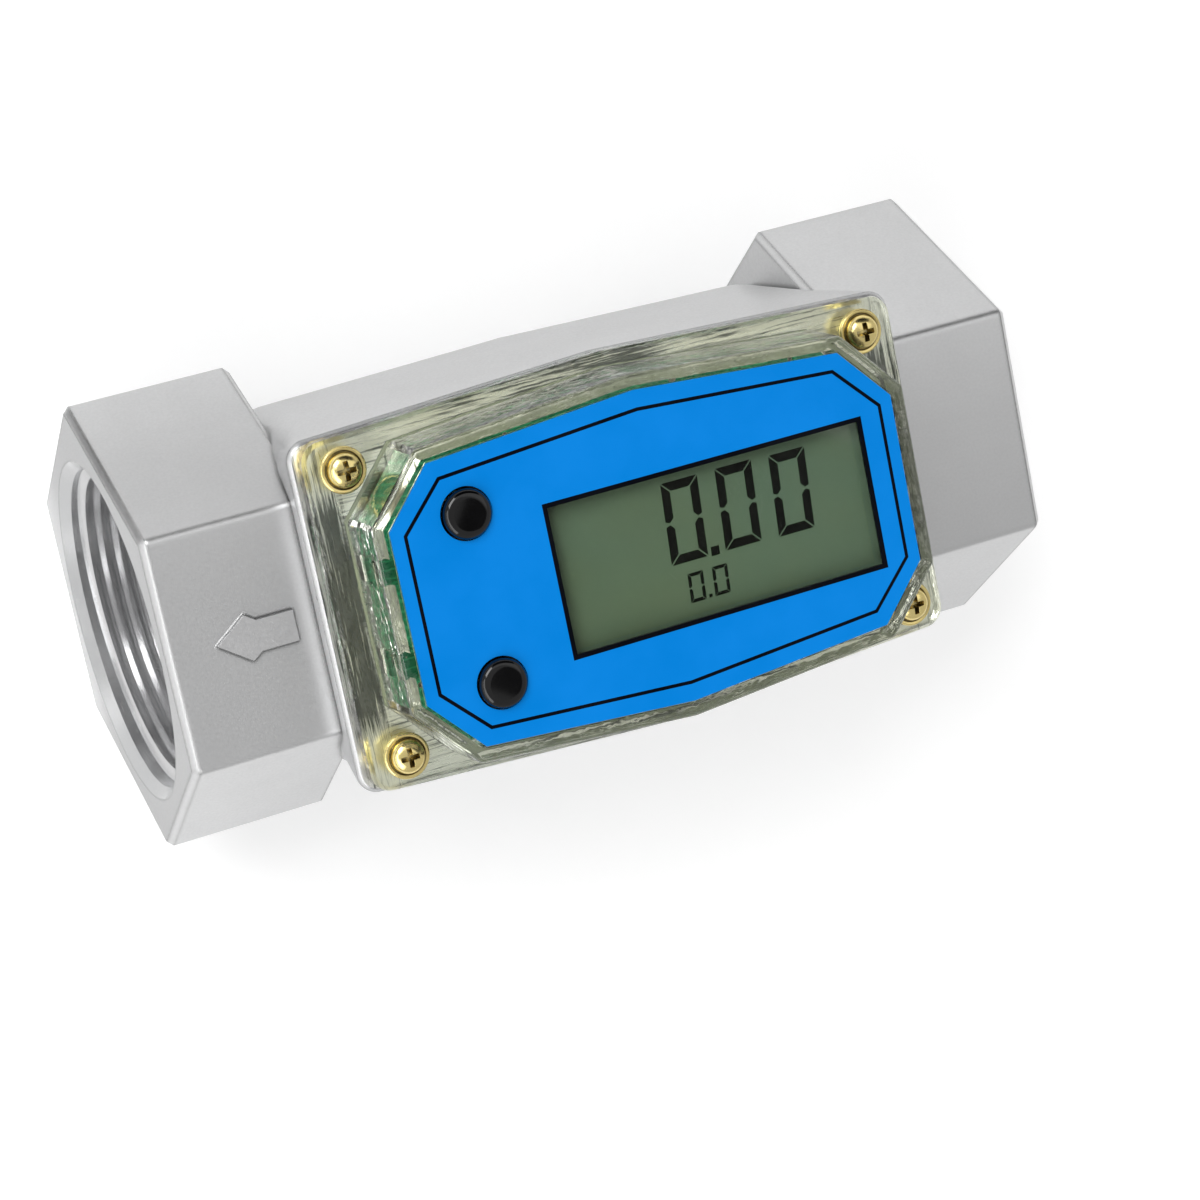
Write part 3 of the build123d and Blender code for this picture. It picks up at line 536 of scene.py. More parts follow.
class Finishes:
    """All finishes of the meter, made once and shared."""

    RECIPES: dict[str, Finish] = {
        # cast, mark and zinc have painted shade in their crevices; cast and mark also on their rounded edges
        "cast": Metal(
            (0.64, 0.642, 0.645), 0.36, 0.4, 0.01, 0.05, edge=0.9, speckle=0.2, crevice_shade_reach=1.2, edge_shade_share=0.55),
        "mark": Metal(
            (0.70, 0.70, 0.705), 0.34, 0.4, 0.01, 0.05, edge=0.25, speckle=0.15, crevice_shade_reach=0.4, edge_shade_share=0.8),
        "rim": MilledRim(),
        "turned": Metal((0.74, 0.745, 0.75), 0.24, 0.5, 0.006, 0.06, (9.0, 0.3, 0.3), speckle=0.12),
        "thread": Metal((0.86, 0.86, 0.865), 0.2, 0.5, 0.006, 0.08, (5.0, 0.5, 0.5), speckle=0.15),
        "clear": ClearPlastic(),
        "seal": Plastic((0.16, 0.175, 0.13), 0.5, 0.3),
        "zinc": Metal((0.98, 0.80, 0.34), 0.2, 0.7, 0.02, 0.2, edge=0.1, speckle=0.35, crevice_shade_reach=0.7),
        "blue": Plastic((0.0, 0.2, 0.64), 0.3, 0.22, 0.002, 0.0, 0.03, gloss=0.05),
        "ink": Plastic((0.001, 0.0015, 0.004), 0.32, 0.22, 0.002, gloss=0.04),
        "segment": Plastic((0.001, 0.0015, 0.001), 0.45, 0.2, 0.002, gloss=0.03),
        "lcd": Display(),
        "black": Plastic((0.016, 0.016, 0.017), 0.42, 0.3, 0.008),
        "strip": Plastic((0.05, 0.045, 0.05), 0.55, 0.3, 0.012),
        "board": Board(),
        "button": Plastic((0.001, 0.001, 0.0012), 0.09, 0.5, 0.001, 0.0, 0.2, gloss=0.45),
        "jacket": Jacket(),
        "nickel": Metal((0.72, 0.70, 0.64), 0.25, 0.3, 0.006, 0.12, (0.4, 1.0, 1.0)),
        "turbine": Plastic((0.014, 0.015, 0.017), 0.36, 0.35, 0.01, 0.1, edge=0.25),
        "brass": Metal((0.80, 0.60, 0.28), 0.24, 0.3, 0.006, 0.15, (6.0, 0.5, 0.5)),
        "steel": Metal((0.60, 0.59, 0.57), 0.2, 0.25, 0.005, 0.08, (8.0, 0.5, 0.5)),
        "ring": Metal((0.62, 0.62, 0.625), 0.26, 0.3, 0.008, 0.1, edge=0.15, speckle=0.15),
        "magnet": Metal((0.50, 0.50, 0.50), 0.3, 0.3, 0.006, 0.1),
    }

    def __init__(self) -> None:
        """Build every material from its recipe."""
        self.made = {name: recipe.make(name) for name, recipe in self.RECIPES.items()}

    def __getitem__(self, name: str) -> bpy.types.Material:
        """Material of a finish by name."""
        return self.made[name]

    def paint_nodes(self, **finishes: str) -> None:
        """Give carried-over CAD nodes their finishes.

        Args:
            finishes: Name of the finish by node.
        """
        for node, finish in finishes.items():
            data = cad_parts[node].data
            data.materials.clear()
            data.materials.append(self.made[finish])


class Bench:
    """Modelling steps that the sub-assemblies share."""

    @staticmethod
    def only(piece: Piece) -> None:
        """Select one object and nothing else.

        Args:
            piece: Object to select and make active.
        """
        bpy.ops.object.select_all(action="DESELECT")
        piece.select_set(True)
        bpy.context.view_layer.objects.active = piece

    @staticmethod
    def edit_all() -> None:
        """Edit the active object with all of it selected."""
        bpy.ops.object.mode_set(mode="EDIT")
        bpy.ops.mesh.select_all(action="SELECT")

    @staticmethod
    def join(pieces: Sequence[Piece], name: str) -> Piece:
        """Join pieces into the first of them.

        Args:
            pieces: Pieces to join.
            name: Name of the joined piece.

        Returns:
            The joined piece.
        """
        Bench.only(pieces[0])
        for piece in pieces[1:]:
            piece.select_set(True)
        bpy.ops.object.join()
        pieces[0].name = name
        return pieces[0]

    @staticmethod
    def close(piece: Piece) -> None:
        """Close the open ends of a mesh and turn its normals outwards."""
        Bench.only(piece)
        Bench.edit_all()
        bpy.ops.mesh.remove_doubles(threshold=1e-7)
        bpy.ops.mesh.fill_holes(sides=0)
        bpy.ops.mesh.select_all(action="SELECT")
        bpy.ops.mesh.normals_make_consistent(inside=False)
        bpy.ops.object.mode_set(mode="OBJECT")

    @staticmethod
    def settle(piece: Piece, angle: float = 35.0) -> Piece:
        """Put an object's origin at the frame's origin and smooth its gentle edges.

        Args:
            piece: Object to finish.
            angle: Edges below this angle, in degrees, are smoothed.

        Returns:
            The same object.
        """
        Bench.only(piece)
        bpy.ops.object.transform_apply(location=True, rotation=True, scale=True)
        bpy.ops.object.shade_smooth_by_angle(angle=radians(angle))
        return piece

    @staticmethod
    def apply(piece: Piece, kind: str, **settings: object) -> None:
        """Add a modifier and apply it.

        Args:
            piece: Object to change.
            kind: Type of the modifier.
            settings: Properties of the modifier by name.
        """
        Bench.only(piece)
        modifier = piece.modifiers.new(kind.title(), kind)
        for name, value in settings.items():
            setattr(modifier, name, value)
        bpy.ops.object.modifier_apply(modifier=modifier.name)

    @staticmethod
    def outline(name: str, points: Sequence[Sequence[float]], filled: bool = True) -> Piece:
        """Closed outline, as one face or as bare edges.

        Args:
            name: Name of the object.
            points: Corners, in order.
            filled: Whether the outline is a face.

        Returns:
            The new object.
        """
        bpy.ops.object.select_all(action="DESELECT")
        bpy.ops.mesh.primitive_circle_add(
            vertices=len(points), radius=MM, fill_type="NGON" if filled else "NOTHING", location=(0, 0, 0))
        piece = bpy.context.object
        piece.name = piece.data.name = name
        for vertex, point in zip(piece.data.vertices, points):
            vertex.co = Vector(point) * MM
        return piece

    @staticmethod
    def plate(name: str, points: Sequence[Point], low: float, height: float, line: float = 0.0) -> Piece:
        """Thin plate of an outline, or only a line of some width inside it.

        Args:
            name: Name of the object.
            points: Corners (x, y), anticlockwise.
            low: Height of the underside.
            height: Thickness.
            line: Width of the line, or 0 for the whole plate.

        Returns:
            The closed object.
        """
        piece = Bench.outline(name, [(x, y, low) for x, y in points])
        if line:
            Bench.edit_all()
            bpy.ops.mesh.inset(thickness=line * MM, use_even_offset=True)
            bpy.ops.mesh.delete(type="FACE")
            bpy.ops.object.mode_set(mode="OBJECT")
        Bench.apply(piece, "SOLIDIFY", thickness=height * MM, offset=1.0)
        Bench.close(piece)
        return piece

    @staticmethod
    def lathe(name: str, profile: Sequence[Point], sides: int = 64) -> Piece:
        """Round piece about Z, drawn up ring by ring from its lowest point.

        Args:
            name: Name of the object.
            profile: Points (radius, height).
            sides: Sides of each ring.

        Returns:
            The closed object, about the frame's Z axis.
        """
        bpy.ops.object.select_all(action="DESELECT")
        radius, height = profile[0]
        bpy.ops.mesh.primitive_circle_add(
            vertices=sides, radius=radius * MM, fill_type="NOTHING", location=(0, 0, height * MM))
        piece = bpy.context.object
        piece.name = piece.data.name = name
        Bench.edit_all()
        for following, top in profile[1:]:
            bpy.ops.mesh.extrude_edges_move(
                TRANSFORM_OT_translate={"value": (0, 0, (top - height) * MM)})
            share = following / radius
            bpy.ops.transform.resize(value=(share, share, 1), center_override=(0, 0, top * MM))
            radius, height = following, top
        bpy.ops.object.mode_set(mode="OBJECT")
        Bench.close(piece)
        bpy.ops.object.transform_apply(location=True)
        return piece

    @staticmethod
    def copies(piece: Piece, places: Sequence[Point], lift: float = 0.0) -> Piece:
        """One object made of copies of a piece, each with its own mesh.

        Args:
            piece: Piece to copy; it is used up.
            places: Where the copies stand, (x, y).
            lift: Height that is added to every copy.

        Returns:
            The joined object.
        """
        made = []
        for x, y in places:
            twin = piece.copy()
            twin.data = piece.data.copy()
            twin.location = Vector((x, y, lift)) * MM
            bpy.context.collection.objects.link(twin)
            made.append(twin)
        name = piece.name
        bpy.data.objects.remove(piece)
        return Bench.join(made, name)

    @staticmethod
    def cut(piece: Piece, tool: Piece) -> None:
        """Cut a closed tool out of a piece; the tool is used up."""
        Bench.apply(piece, "BOOLEAN", operation="DIFFERENCE", object=tool, solver="EXACT")
        bpy.data.objects.remove(tool)

    @staticmethod
    def twin(node: str, name: str, angle: float = 30.0) -> Piece:
        """Merged copy of a CAD node, to stand in for it.

        Args:
            node: Name of the CAD node.
            name: Name of the copy.
            angle: Edges below this angle, in degrees, are smoothed.

        Returns:
            The copy, at rest in the frame.
        """
        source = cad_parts[node]
        piece = source.copy()
        piece.data = source.data.copy()
        piece.name = piece.data.name = name
        bpy.context.collection.objects.link(piece)
        place = source.matrix_world.copy()
        piece.parent = None
        piece.matrix_world = place
        Bench.only(piece)
        bpy.ops.mesh.customdata_custom_splitnormals_clear()
        Bench.edit_all()
        bpy.ops.mesh.remove_doubles(threshold=1e-6)
        bpy.ops.object.mode_set(mode="OBJECT")
        return Bench.settle(piece, angle)


def declare(piece: Piece, body: Body, slot: Slot, material: bpy.types.Material | None, *nodes: str) -> None:
    """Give a piece its finish, if one is given, hang it on its body and hide the CAD nodes it stands for.

    Args:
        piece: Finished piece.
        body: Body it rides on.
        slot: Not used.
        material: Finish, or None if the piece has its own already.
        nodes: CAD nodes it stands for.
    """
    if material is not None:
        piece.data.materials.clear()
        piece.data.materials.append(material)
    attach(piece, body.value)
    if nodes:
        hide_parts(*nodes)


class CastingFace(Enum):
    """Kinds of face on the casting, by finish, in the order of its materials."""

    CAST = "cast"
    TURNED = "turned"
    RIM = "rim"
    MARK = "mark"


@dataclass
class Housing:
    """Die-cast body with turned, threaded mouths."""

    finishes: Finishes
    thread_radius: float = 23.9
    thread_end: float = 48.0
    crest_radius: float = 22.45
    pitch: float = 2.309
    root_width: float = 2.1
    crest_width: float = 0.5
    turns: int = 7
    steps: int = 96
    ridge_foot: float = 0.15
    runout: float = 0.3
    mouth_wall: float = 1.6
    chamber_radius: float = 15.0
    arrow_start: float = 50.0
    arrow_relief: float = 0.02

    def build(self) -> None:
        """Copy the casting, and cut a thread in each mouth."""
        self.casting = Bench.twin("meter_body", "casting")
        self.threads = [self.thread(name, side) for name, side in (("inlet_ridge", 1), ("outlet_ridge", -1))]

    def thread(self, name: str, side: int) -> Piece:
        """Helical ridge of one mouth.

        Args:
            name: Name of the piece.
            side: 1 for the mouth at +X, -1 for the one at -X.

        Returns:
            The closed ridge.
        """
        base = self.thread_radius + self.ridge_foot
        low, high = self.root_width / 2, self.crest_width / 2
        start = side * (self.thread_end + self.runout + low)
        piece = Bench.outline(name, [
            (start - low, 0, base), (start + low, 0, base),
            (start + high, 0, self.crest_radius), (start - high, 0, self.crest_radius),
        ], filled=False)
        Bench.apply(
            piece, "SCREW", axis="X", angle=2 * pi, screw_offset=side * self.pitch * MM,
            iterations=self.turns, steps=self.steps, render_steps=self.steps, use_merge_vertices=False)
        piece.location = (0, 0, AXIS_HEIGHT * MM)
        Bench.close(piece)
        return Bench.settle(piece, 40.0)

    def dress(self) -> None:
        """Turned mouths, a milled rim with painted shade and reflection, a lighter arrow and cast faces
        elsewhere, both with painted shade on edges and in crevices.
        """
        data = self.casting.data
        data.materials.clear()
        kinds = list(CastingFace)
        for kind in kinds:
            data.materials.append(self.finishes[kind.value])
        for face in data.polygons:
            face.material_index = kinds.index(self.kind(face))
        declare(self.casting, Body.HOUSING, Slot.CAST, None, "meter_body")
        for ridge in self.threads:
            declare(ridge, Body.HOUSING, Slot.CAST, self.finishes["thread"])

    def kind(self, face: bpy.types.MeshPolygon) -> CastingFace:
        """Tell what kind of face one face of the casting is.

        Args:
            face: Face of the casting.

        Returns:
            Its kind.
        """
        height = face.center.z / MM
        away = Vector((0, face.center.y, face.center.z - AXIS_HEIGHT * MM))
        inward = away.length < (self.thread_radius + self.mouth_wall) * MM and face.normal.dot(away) <= 1e-9
        if inward and away.length > self.chamber_radius * MM and abs(face.normal.z) < 0.9999:
            return CastingFace.TURNED
        if abs(height - RIM_HEIGHT) < 0.01 and face.normal.z > 0.99:
            return CastingFace.RIM
        raised = height > 2 * AXIS_HEIGHT + self.arrow_relief
        return CastingFace.MARK if raised and abs(face.center.x) > self.arrow_start * MM else CastingFace.CAST


@dataclass
class Cover:
    """Clear cover with its seal."""

    finishes: Finishes
    air: float = 0.05

    def build(self) -> None:
        """Copy the moulding, and leave a film of air under it so that light passes to the rim."""
        self.shell = Bench.twin("clear_cover", "cover", 32.0)
        for vertex in self.shell.data.vertices:
            if abs(vertex.co.z - RIM_HEIGHT * MM) < 1e-6:
                vertex.co.z += self.air * MM

    def dress(self) -> None:
        """Clear plastic over a grey green seal."""
        declare(self.shell, Body.HOUSING, Slot.CLEAR, self.finishes["clear"], "clear_cover")
        self.finishes.paint_nodes(cover_gasket="seal")


@dataclass
class CoverScrews:
    """Four pan-head screws with a collar and a cross recess."""

    finishes: Finishes
    places: Sequence[Point] = ((-40.0, -20.5), (-40.0, 20.5), (40.0, -20.5), (40.0, 20.5))
    seat: float = 65.5
    shank: float = 1.45
    length: float = 11.0
    recess_reach: float = 1.6
    recess_half: float = 0.42
    recess_depth: float = 1.45
    recess_margin: float = 0.3
    head: Sequence[Point] = (
        (3.12, 0.0), (3.3, 0.14), (3.3, 0.5), (3.2, 0.64), (3.05, 0.7), (2.75, 0.66), (2.6, 0.45),
        (2.5, 0.42), (2.46, 0.5), (2.45, 1.0), (2.36, 1.4), (2.14, 1.74), (1.8, 1.98), (1.3, 2.16),
        (0.8, 2.24), (0.3, 2.27),
    )
    pitch: float = 1.06
    groove: float = 0.35
    tip_radius: float = 0.5
    taper: Point = (0.4, 0.8)
    plain_tip: float = 1.0
    neck: Point = (-0.6, -0.05)
    sides: int = 48

    def build(self) -> None:
        """Model one screw and copy it to the four places."""
        shank = [(self.tip_radius, -self.length), (self.shank - self.taper[0], -self.length + self.taper[1])]
        for i in range(int(self.length / self.pitch) - 1):
            height = -self.length + self.plain_tip + i * self.pitch
            shank += [(self.shank - self.groove, height), (self.shank, height + self.pitch / 2)]
        neck = [(self.shank, height) for height in self.neck]
        screw = Bench.lathe("screws", shank + neck + list(self.head), self.sides)
        Bench.cut(screw, self.recess())
        self.screws = Bench.settle(Bench.copies(screw, self.places, self.seat), 28.0)

    def recess(self) -> Piece:
        """Tapered cross that is cut into the head.

        Returns:
            The closed cutter.
        """
        far, near = self.recess_reach, self.recess_half
        corners = [(far, near), (near, near), (near, far)]
        outline = []
        for quarter in range(4):
            turn = Matrix.Rotation(quarter * pi / 2, 2)
            outline += [tuple(turn @ Vector(corner)) for corner in corners]
        top = self.head[-1][1] + self.recess_margin
        cutter = Bench.outline("recess", [(x, y, top) for x, y in outline])
        Bench.edit_all()
        bpy.ops.mesh.extrude_region_move(
            TRANSFORM_OT_translate={"value": (0, 0, -(self.recess_depth + self.recess_margin) * MM)})
        bpy.ops.transform.resize(value=(0.5, 0.5, 1), center_override=(0, 0, 0))
        bpy.ops.object.mode_set(mode="OBJECT")
        Bench.close(cutter)
        return cutter

    def dress(self) -> None:
        """Yellow zinc."""
        declare(self.screws, Body.HOUSING, Slot.ZINC, self.finishes["zinc"], "cover_screws")


@dataclass
class Faceplate:
    """Blue faceplate with its printed border and the printed frame of the window."""

    finishes: Finishes
    top: float = 75.2
    ink: float = 0.02
    border: Sequence[Point] = ((0.0, 19.95), (30.15, 17.85), (36.52, 11.27))
    border_line: float = 0.5
    window: tuple[float, float, float, float] = (-15.8, -11.3, 32.5, 9.8)
    window_line: float = 0.6
    wall: float = 0.06
    thickness: float = 0.4
    clearance: float = 0.001

    def build(self) -> None:
        """Lay the printed lines on the plate, and line the wall of the window."""
        corners = list(self.border)
        right = corners + [(x, -y) for x, y in reversed(corners)]
        outline = right + [(-x, y) for x, y in reversed(right) if x > 0]
        outline.reverse()
        self.border_print = Bench.settle(
            Bench.plate("border_print", outline, self.top, self.ink, self.border_line))
        low_x, low_y, high_x, high_y = self.window
        rings = []
        for name, grow, low, height in (
            ("window_print", self.window_line, self.top, self.ink),
            ("window_lining", 0.0, self.top - self.thickness, self.thickness - self.clearance),
        ):
            corners = [
                (low_x - grow, low_y - grow), (high_x + grow, low_y - grow),
                (high_x + grow, high_y + grow), (low_x - grow, high_y + grow),
            ]
            rings.append(Bench.plate(name, corners, low, height, grow or self.wall))
        self.window_print = Bench.settle(Bench.join(rings, "window_print"))

    def dress(self) -> None:
        """Blue film with dark ink."""
        self.finishes.paint_nodes(face_label="blue")
        for piece in (self.border_print, self.window_print):
            declare(piece, Body.HOUSING, Slot.BLUE, self.finishes["ink"])


@dataclass(frozen=True)
class DigitRow:
    """Row of seven-segment digits and its decimal point, placed by their lower left corners."""

    name: str
    width: float
    height: float
    stroke: float
    gap: float
    places: Sequence[Point]
    point: Point
    slant: float = 0.055


@dataclass
class DisplayPanel:
    """Display with two rows of digits that stand at zero."""

    finishes: Finishes
    top: float = 72.5
    ink: float = 0.02
    rows: Sequence[DigitRow] = (
        DigitRow(
            "total_digits", 5.7, 11.7, 1.3, 0.14, ((1.3, -3.4), (9.75, -3.4), (18.15, -3.65)), (7.5, -3.6)),
        DigitRow("rate_digits", 2.4, 4.2, 0.5, 0.05, ((3.1, -9.3), (6.9, -9.3)), (5.95, -9.25)),
    )
    lit: str = "abcdef"

    def bars(self, digits: DigitRow) -> dict[str, list[Point]]:
        """Corners of the segments of one digit, upright, with its lower left corner at 0, 0.

        Args:
            digits: Row that the digit is in.

        Returns:
            Corners by segment letter.
        """
        width, height, stroke, gap = digits.width, digits.height, digits.stroke, digits.gap
        middle = height / 2
        bevel = stroke / 2
        top = [
            (gap, height), (width - gap, height), (width - stroke - gap, height - stroke),
            (stroke + gap, height - stroke),
        ]
        upper = [
            (0, height - gap), (0, middle + gap + bevel * 0.4), (bevel, middle + gap),
            (stroke, middle + gap + bevel), (stroke, height - stroke - gap),
        ]
        lower = [(x, height - y) for x, y in upper]
        return {
            "a": top,
            "d": [(x, height - y) for x, y in top],
            "f": upper,
            "e": lower,
            "b": [(width - x, y) for x, y in upper],
            "c": [(width - x, y) for x, y in lower],
        }

    def mark(self, name: str, outline: list[Point], place: Point, slant: float) -> Piece:
        """One dark segment of the display.

        Args:
            name: Name of the object.
            outline: Corners, upright, about the digit's lower left corner.
            place: Where that corner is.
            slant: Lean of the digit.

        Returns:
            The closed segment.
        """
        points = [(place[0] + x + slant * y, place[1] + y) for x, y in outline]
        turning = sum(a[0] * b[1] - b[0] * a[1] for a, b in zip(points, points[1:] + points[:1]))
        if turning < 0:
            points.reverse()
        return Bench.plate(name, points, self.top, self.ink)

    def row(self, digits: DigitRow) -> Piece:
        """Zeros of one row with their decimal point.

        Args:
            digits: Row to print.

        Returns:
            The joined row.
        """
        bars = self.bars(digits)
        marks = [
            self.mark(f"{digits.name}_{letter}", bars[letter], place, digits.slant)
            for place in digits.places for letter in self.lit
        ]
        dot = digits.stroke
        square = [(0, 0), (dot, 0), (dot, dot), (0, dot)]
        marks.append(self.mark(f"{digits.name}_point", square, digits.point, digits.slant))
        return Bench.settle(Bench.join(marks, digits.name))

    def build(self) -> None:
        """Lay both rows on the panel."""
        self.printed = [self.row(digits) for digits in self.rows]

    def dress(self) -> None:
        """Dark segments on the olive panel, in a black frame."""
        for row in self.printed:
            declare(row, Body.HOUSING, Slot.LCD, self.finishes["segment"])
        self.finishes.paint_nodes(lcd_panel="lcd", lcd_bezel="black", lcd_connectors="strip")


@dataclass
class Keys:
    """Two glossy keys with the switches under them."""

    finishes: Finishes
    x: float = -27.2
    y: float = 12.0
    under: float = 71.95
    flange_top: float = 72.75
    flange: float = 4.6
    radius: float = 3.5
    edge: float = 0.95
    crown: float = 0.03
    chamfer: float = 0.2
    flange_edge: Point = (0.1, 0.05)
    edge_step: float = 10.0
    edge_steps: int = 8
    dome: Sequence[float] = (0.8, 0.55, 0.3, 0.04)
    top: float = 76.5

    def build(self) -> None:
        """Model the cap and copy it to both places."""
        self.caps = {}
        for body, side in ((Body.CALIBRATE, 1), (Body.DISPLAY, -1)):
            shoulder = self.top - self.crown - self.edge
            profile = [
                (self.flange - self.chamfer, self.under), (self.flange, self.under + self.chamfer),
                (self.flange, self.flange_top - self.flange_edge[1]),
                (self.flange - self.flange_edge[0], self.flange_top),
                (self.radius, self.flange_top), (self.radius, shoulder),
            ]
            flat = self.radius - self.edge
            for step in range(1, self.edge_steps + 1):
                turn = radians(step * self.edge_step)
                profile.append((flat + self.edge * cos(turn), shoulder + self.edge * sin(turn)))
            last = profile[-1]
            for share in self.dome:
                profile.append((last[0] * share, self.top - (self.top - last[1]) * share ** 2))
            cap = Bench.lathe(f"{body.value}_cap", profile)
            self.caps[body] = Bench.settle(Bench.copies(cap, [(self.x, side * self.y)]), 50.0)

    def dress(self) -> None:
        """Glossy black caps over plain black switches."""
        for body, cap in self.caps.items():
            prefix = body.value.split("_")[0]
            declare(cap, body, Slot.BUTTON, self.finishes["button"], f"{prefix}_button")
            self.finishes.paint_nodes(**{f"{prefix}_switch": "black", f"{prefix}_plunger": "strip"})


@dataclass
class Electronics:
    """Board, chip, cells and pickup inside the cover."""

    finishes: Finishes

    def build(self) -> None:
        """Every piece is a CAD node as it is."""

    def dress(self) -> None:
        """Finish of each node."""
        self.finishes.paint_nodes(
            circuit_board="board", controller_chip="black", battery_holder="black", battery_cells="jacket",
            battery_contacts="nickel", hall_sensor="black", sensor_leads="nickel")


@dataclass
class Turbine:
    """Turbine cartridge in the bore: supports, bushes, rotor, shaft and retaining rings."""

    finishes: Finishes
    fixed: Sequence[tuple[str, Slot, str]] = (
        ("inlet_support", Slot.TURBINE, "turbine"), ("outlet_support", Slot.TURBINE, "turbine"),
        ("inlet_retaining_ring", Slot.RING, "ring"), ("outlet_retaining_ring", Slot.RING, "ring"),
    )

    def build(self) -> None:
        """Copy what shows in the mouths, so that it shades softly."""
        self.copies = [Bench.twin(node, f"{node}_piece", 35.0) for node, _, _ in self.fixed]
        self.wheel = Bench.twin("rotor", "wheel", 35.0)

    def dress(self) -> None:
        """Black plastic, brass bushes and bright steel."""
        for piece, (node, slot, finish) in zip(self.copies, self.fixed):
            declare(piece, Body.HOUSING, slot, self.finishes[finish], node)
        declare(self.wheel, Body.TURBINE, Slot.TURBINE, self.finishes["turbine"], "rotor")
        self.finishes.paint_nodes(
            inlet_bush="brass", outlet_bush="brass", rotor_magnets="magnet", rotor_shaft="steel")


@dataclass(frozen=True)
class Card:
    """Card that a face of the meter mirrors, placed as seen from a point."""

    name: str
    direction: Triple
    distance: float
    size: Point
    shade: float
    aim: Triple = (0.0, 0.0, 0.06)
    through: bool = False


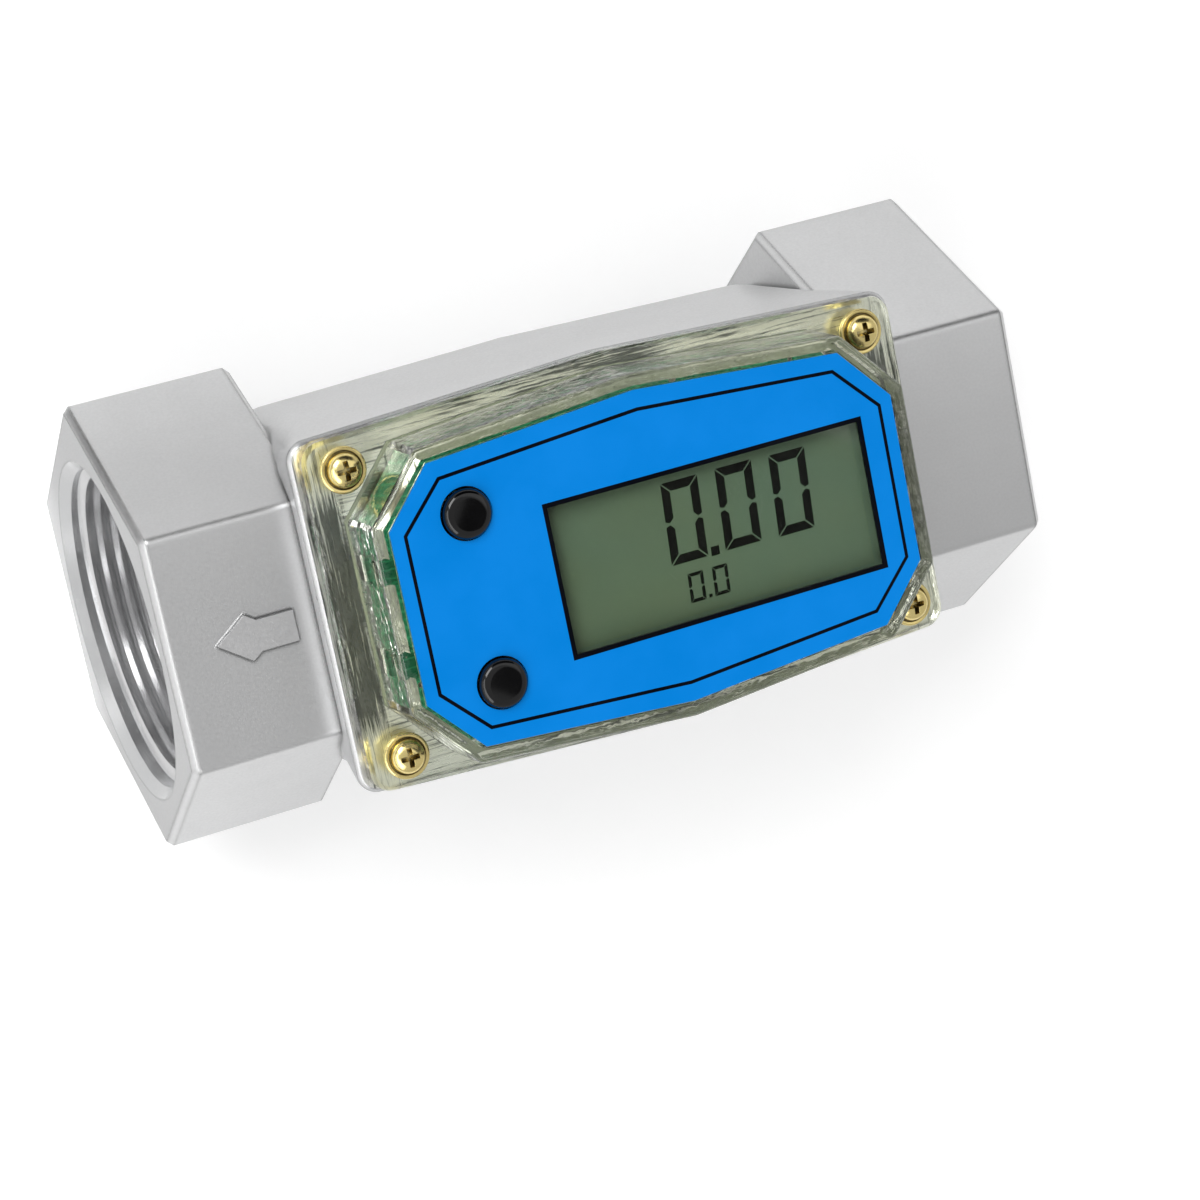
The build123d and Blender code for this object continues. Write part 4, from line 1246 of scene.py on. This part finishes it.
@dataclass
class Studio:
    """Pale floor, soft light and the photo's camera."""

    place: Triple = (-0.15758, 0.09035, 0.47368)
    right: Triple = (0.9039, -0.197, 0.3797)
    up: Triple = (0.2633, 0.9558, -0.131)
    back: Triple = (-0.3371, 0.2184, 0.9158)
    lens: float = 94.8
    floor_size: float = 6.0
    floor_level: float = -0.0002
    floor_glow: float = 0.16
    sky: float = 0.72
    lamps: Sequence[tuple[str, Triple, float, float]] = (
        ("key_lamp", (-0.55, 0.75, 1.0), 0.7, 10.0),
        ("fill_lamp", (-0.75, -0.75, 0.9), 0.9, 7.0),
    )
    cards: Sequence[Card] = (
        Card("overhead_card", (0.337, -0.218, 0.916), 1.1, (0.2, 0.24), 0.06, (0.002, 0.0, 0.075), True),
        Card("horizon_card", (0.337, 0.921, 0.188), 1.1, (1.3, 0.25), 1.3),
        Card("edge_card", (0.337, 0.790, 0.510), 1.0, (1.3, 0.75), 0.0),
        Card("middle_card", (0.337, 0.397, 0.853), 1.1, (1.3, 0.75), 1.1),
        Card("band_card", (-0.80, -0.218, 0.56), 0.8, (0.9, 0.5), 3.2),
        Card("band_gap_card", (-0.87, -0.218, 0.44), 0.74, (0.9, 0.12), 0.3),
        Card("mouth_card", (0.0, 0.0, 1.0), 0.001, (0.04, 0.09), 0.8, (-0.09, -0.005, 0.0)),
        Card("facet_card", (0.0, 0.0, 1.0), 0.0012, (0.1, 0.14), 0.62, (-0.01, 0.185, 0.0)),
        Card("corner_card", (0.0, 0.0, 1.0), 0.001, (0.1, 0.08), 0.03, (-0.138, 0.095, 0.0)),
    )

    def camera(self) -> None:
        """Stand where the photo was taken."""
        data = bpy.data.cameras.new("photo_camera")
        data.lens = self.lens
        data.sensor_width = 36.0
        data.clip_start = 0.01
        camera = bpy.data.objects.new("photo_camera", data)
        axes = Matrix((self.right, self.up, self.back)).transposed()
        camera.matrix_world = Matrix.Translation(self.place) @ axes.to_4x4()
        bpy.context.collection.objects.link(camera)
        bpy.context.scene.camera = camera

    def world(self) -> None:
        """Even soft light all round, behind a white background."""
        world = bpy.data.worlds.new("studio_world")
        world.use_nodes = True
        tree = world.node_tree
        tree.nodes.clear()
        path, near, far, either, output = (tree.nodes.new(f"ShaderNode{kind}") for kind in (
            "LightPath", "Background", "Background", "MixShader", "OutputWorld"))
        near.inputs[1].default_value = self.sky
        far.inputs[1].default_value = 1.0
        tree.links.new(path.outputs["Is Camera Ray"], either.inputs[0])
        tree.links.new(near.outputs[0], either.inputs[1])
        tree.links.new(far.outputs[0], either.inputs[2])
        tree.links.new(either.outputs[0], output.inputs[0])
        bpy.context.scene.world = world

    def floor(self) -> None:
        """Pale floor that takes the meter's shadow."""
        bpy.ops.object.select_all(action="DESELECT")
        bpy.ops.mesh.primitive_grid_add(
            x_subdivisions=4, y_subdivisions=4, size=self.floor_size, location=(0, 0, self.floor_level))
        floor = bpy.context.object
        floor.name = "studio_floor"
        graph = Graph("studio_floor")
        seen = graph.add("ShaderNodeLightPath").outputs["Is Camera Ray"]
        graph.surface(
            Base_Color=graph.blend(graph.noise(300.0, 2.0), (0.93, 0.93, 0.93), (0.95, 0.95, 0.95)),
            Roughness=0.9, Emission_Color=WHITE,
            Emission_Strength=graph.sum("MULTIPLY", seen, self.floor_glow),
        )
        floor.data.materials.append(graph.material)
        floor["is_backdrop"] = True

    def lamp(self, name: str, place: Triple, size: float, power: float) -> None:
        """Soft area lamp that looks at the meter.

        Args:
            name: Name of the lamp.
            place: Where it hangs, in metres.
            size: Side of its square face, in metres.
            power: Power in watts.
        """
        data = bpy.data.lights.new(name, "AREA")
        data.shape = "SQUARE"
        data.size = size
        data.energy = power
        lamp = bpy.data.objects.new(name, data)
        lamp.location = place
        aim = Vector((0.0, 0.0, 0.03)) - Vector(place)
        lamp.rotation_euler = aim.to_track_quat("-Z", "Y").to_euler()
        bpy.context.collection.objects.link(lamp)

    def card(self, sheet: Card) -> None:
        """Hang a card that only shows in reflections.

        Args:
            sheet: Place, size and brightness of the card.
        """
        bpy.ops.object.select_all(action="DESELECT")
        bpy.ops.mesh.primitive_grid_add(x_subdivisions=2, y_subdivisions=2, size=1.0)
        card = bpy.context.object
        card.name = sheet.name
        card.scale = (*sheet.size, 1.0)
        aim = Vector(sheet.aim)
        way = Vector(sheet.direction).normalized()
        card.location = aim + way * sheet.distance
        card.rotation_euler = (-way).to_track_quat("Z", "Y").to_euler()
        graph = Graph(sheet.name)
        light = graph.add("ShaderNodeEmission", {0: WHITE, 1: sheet.shade})
        graph.join(light.outputs[0], graph.output.inputs["Surface"])
        card.data.materials.append(graph.material)
        card.visible_camera = False
        card.visible_diffuse = False
        card.visible_shadow = False
        card.visible_transmission = sheet.through
        card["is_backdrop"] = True

    def build(self) -> None:
        """Set the whole studio."""
        bpy.context.scene.view_settings.view_transform = "Standard"
        self.camera()
        self.world()
        self.floor()
        for lamp in self.lamps:
            self.lamp(*lamp)
        for card in self.cards:
            self.card(card)


def main() -> None:
    """Build, dress and light the meter, and log the pieces that show."""
    logging.basicConfig(level=logging.INFO, format="%(name)s: %(message)s")
    finishes = Finishes()
    for kind in (Housing, Cover, CoverScrews, Faceplate, DisplayPanel, Keys, Electronics, Turbine):
        assembly = kind(finishes)
        assembly.build()
        assembly.dress()
        LOG.info("built %s", kind.__name__)
    Studio().build()
    LOG.info("built Studio")
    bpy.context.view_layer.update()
    LOG.info("pieces: %s", ", ".join(piece.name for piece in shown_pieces()))


if __name__ == "__main__":
    main()
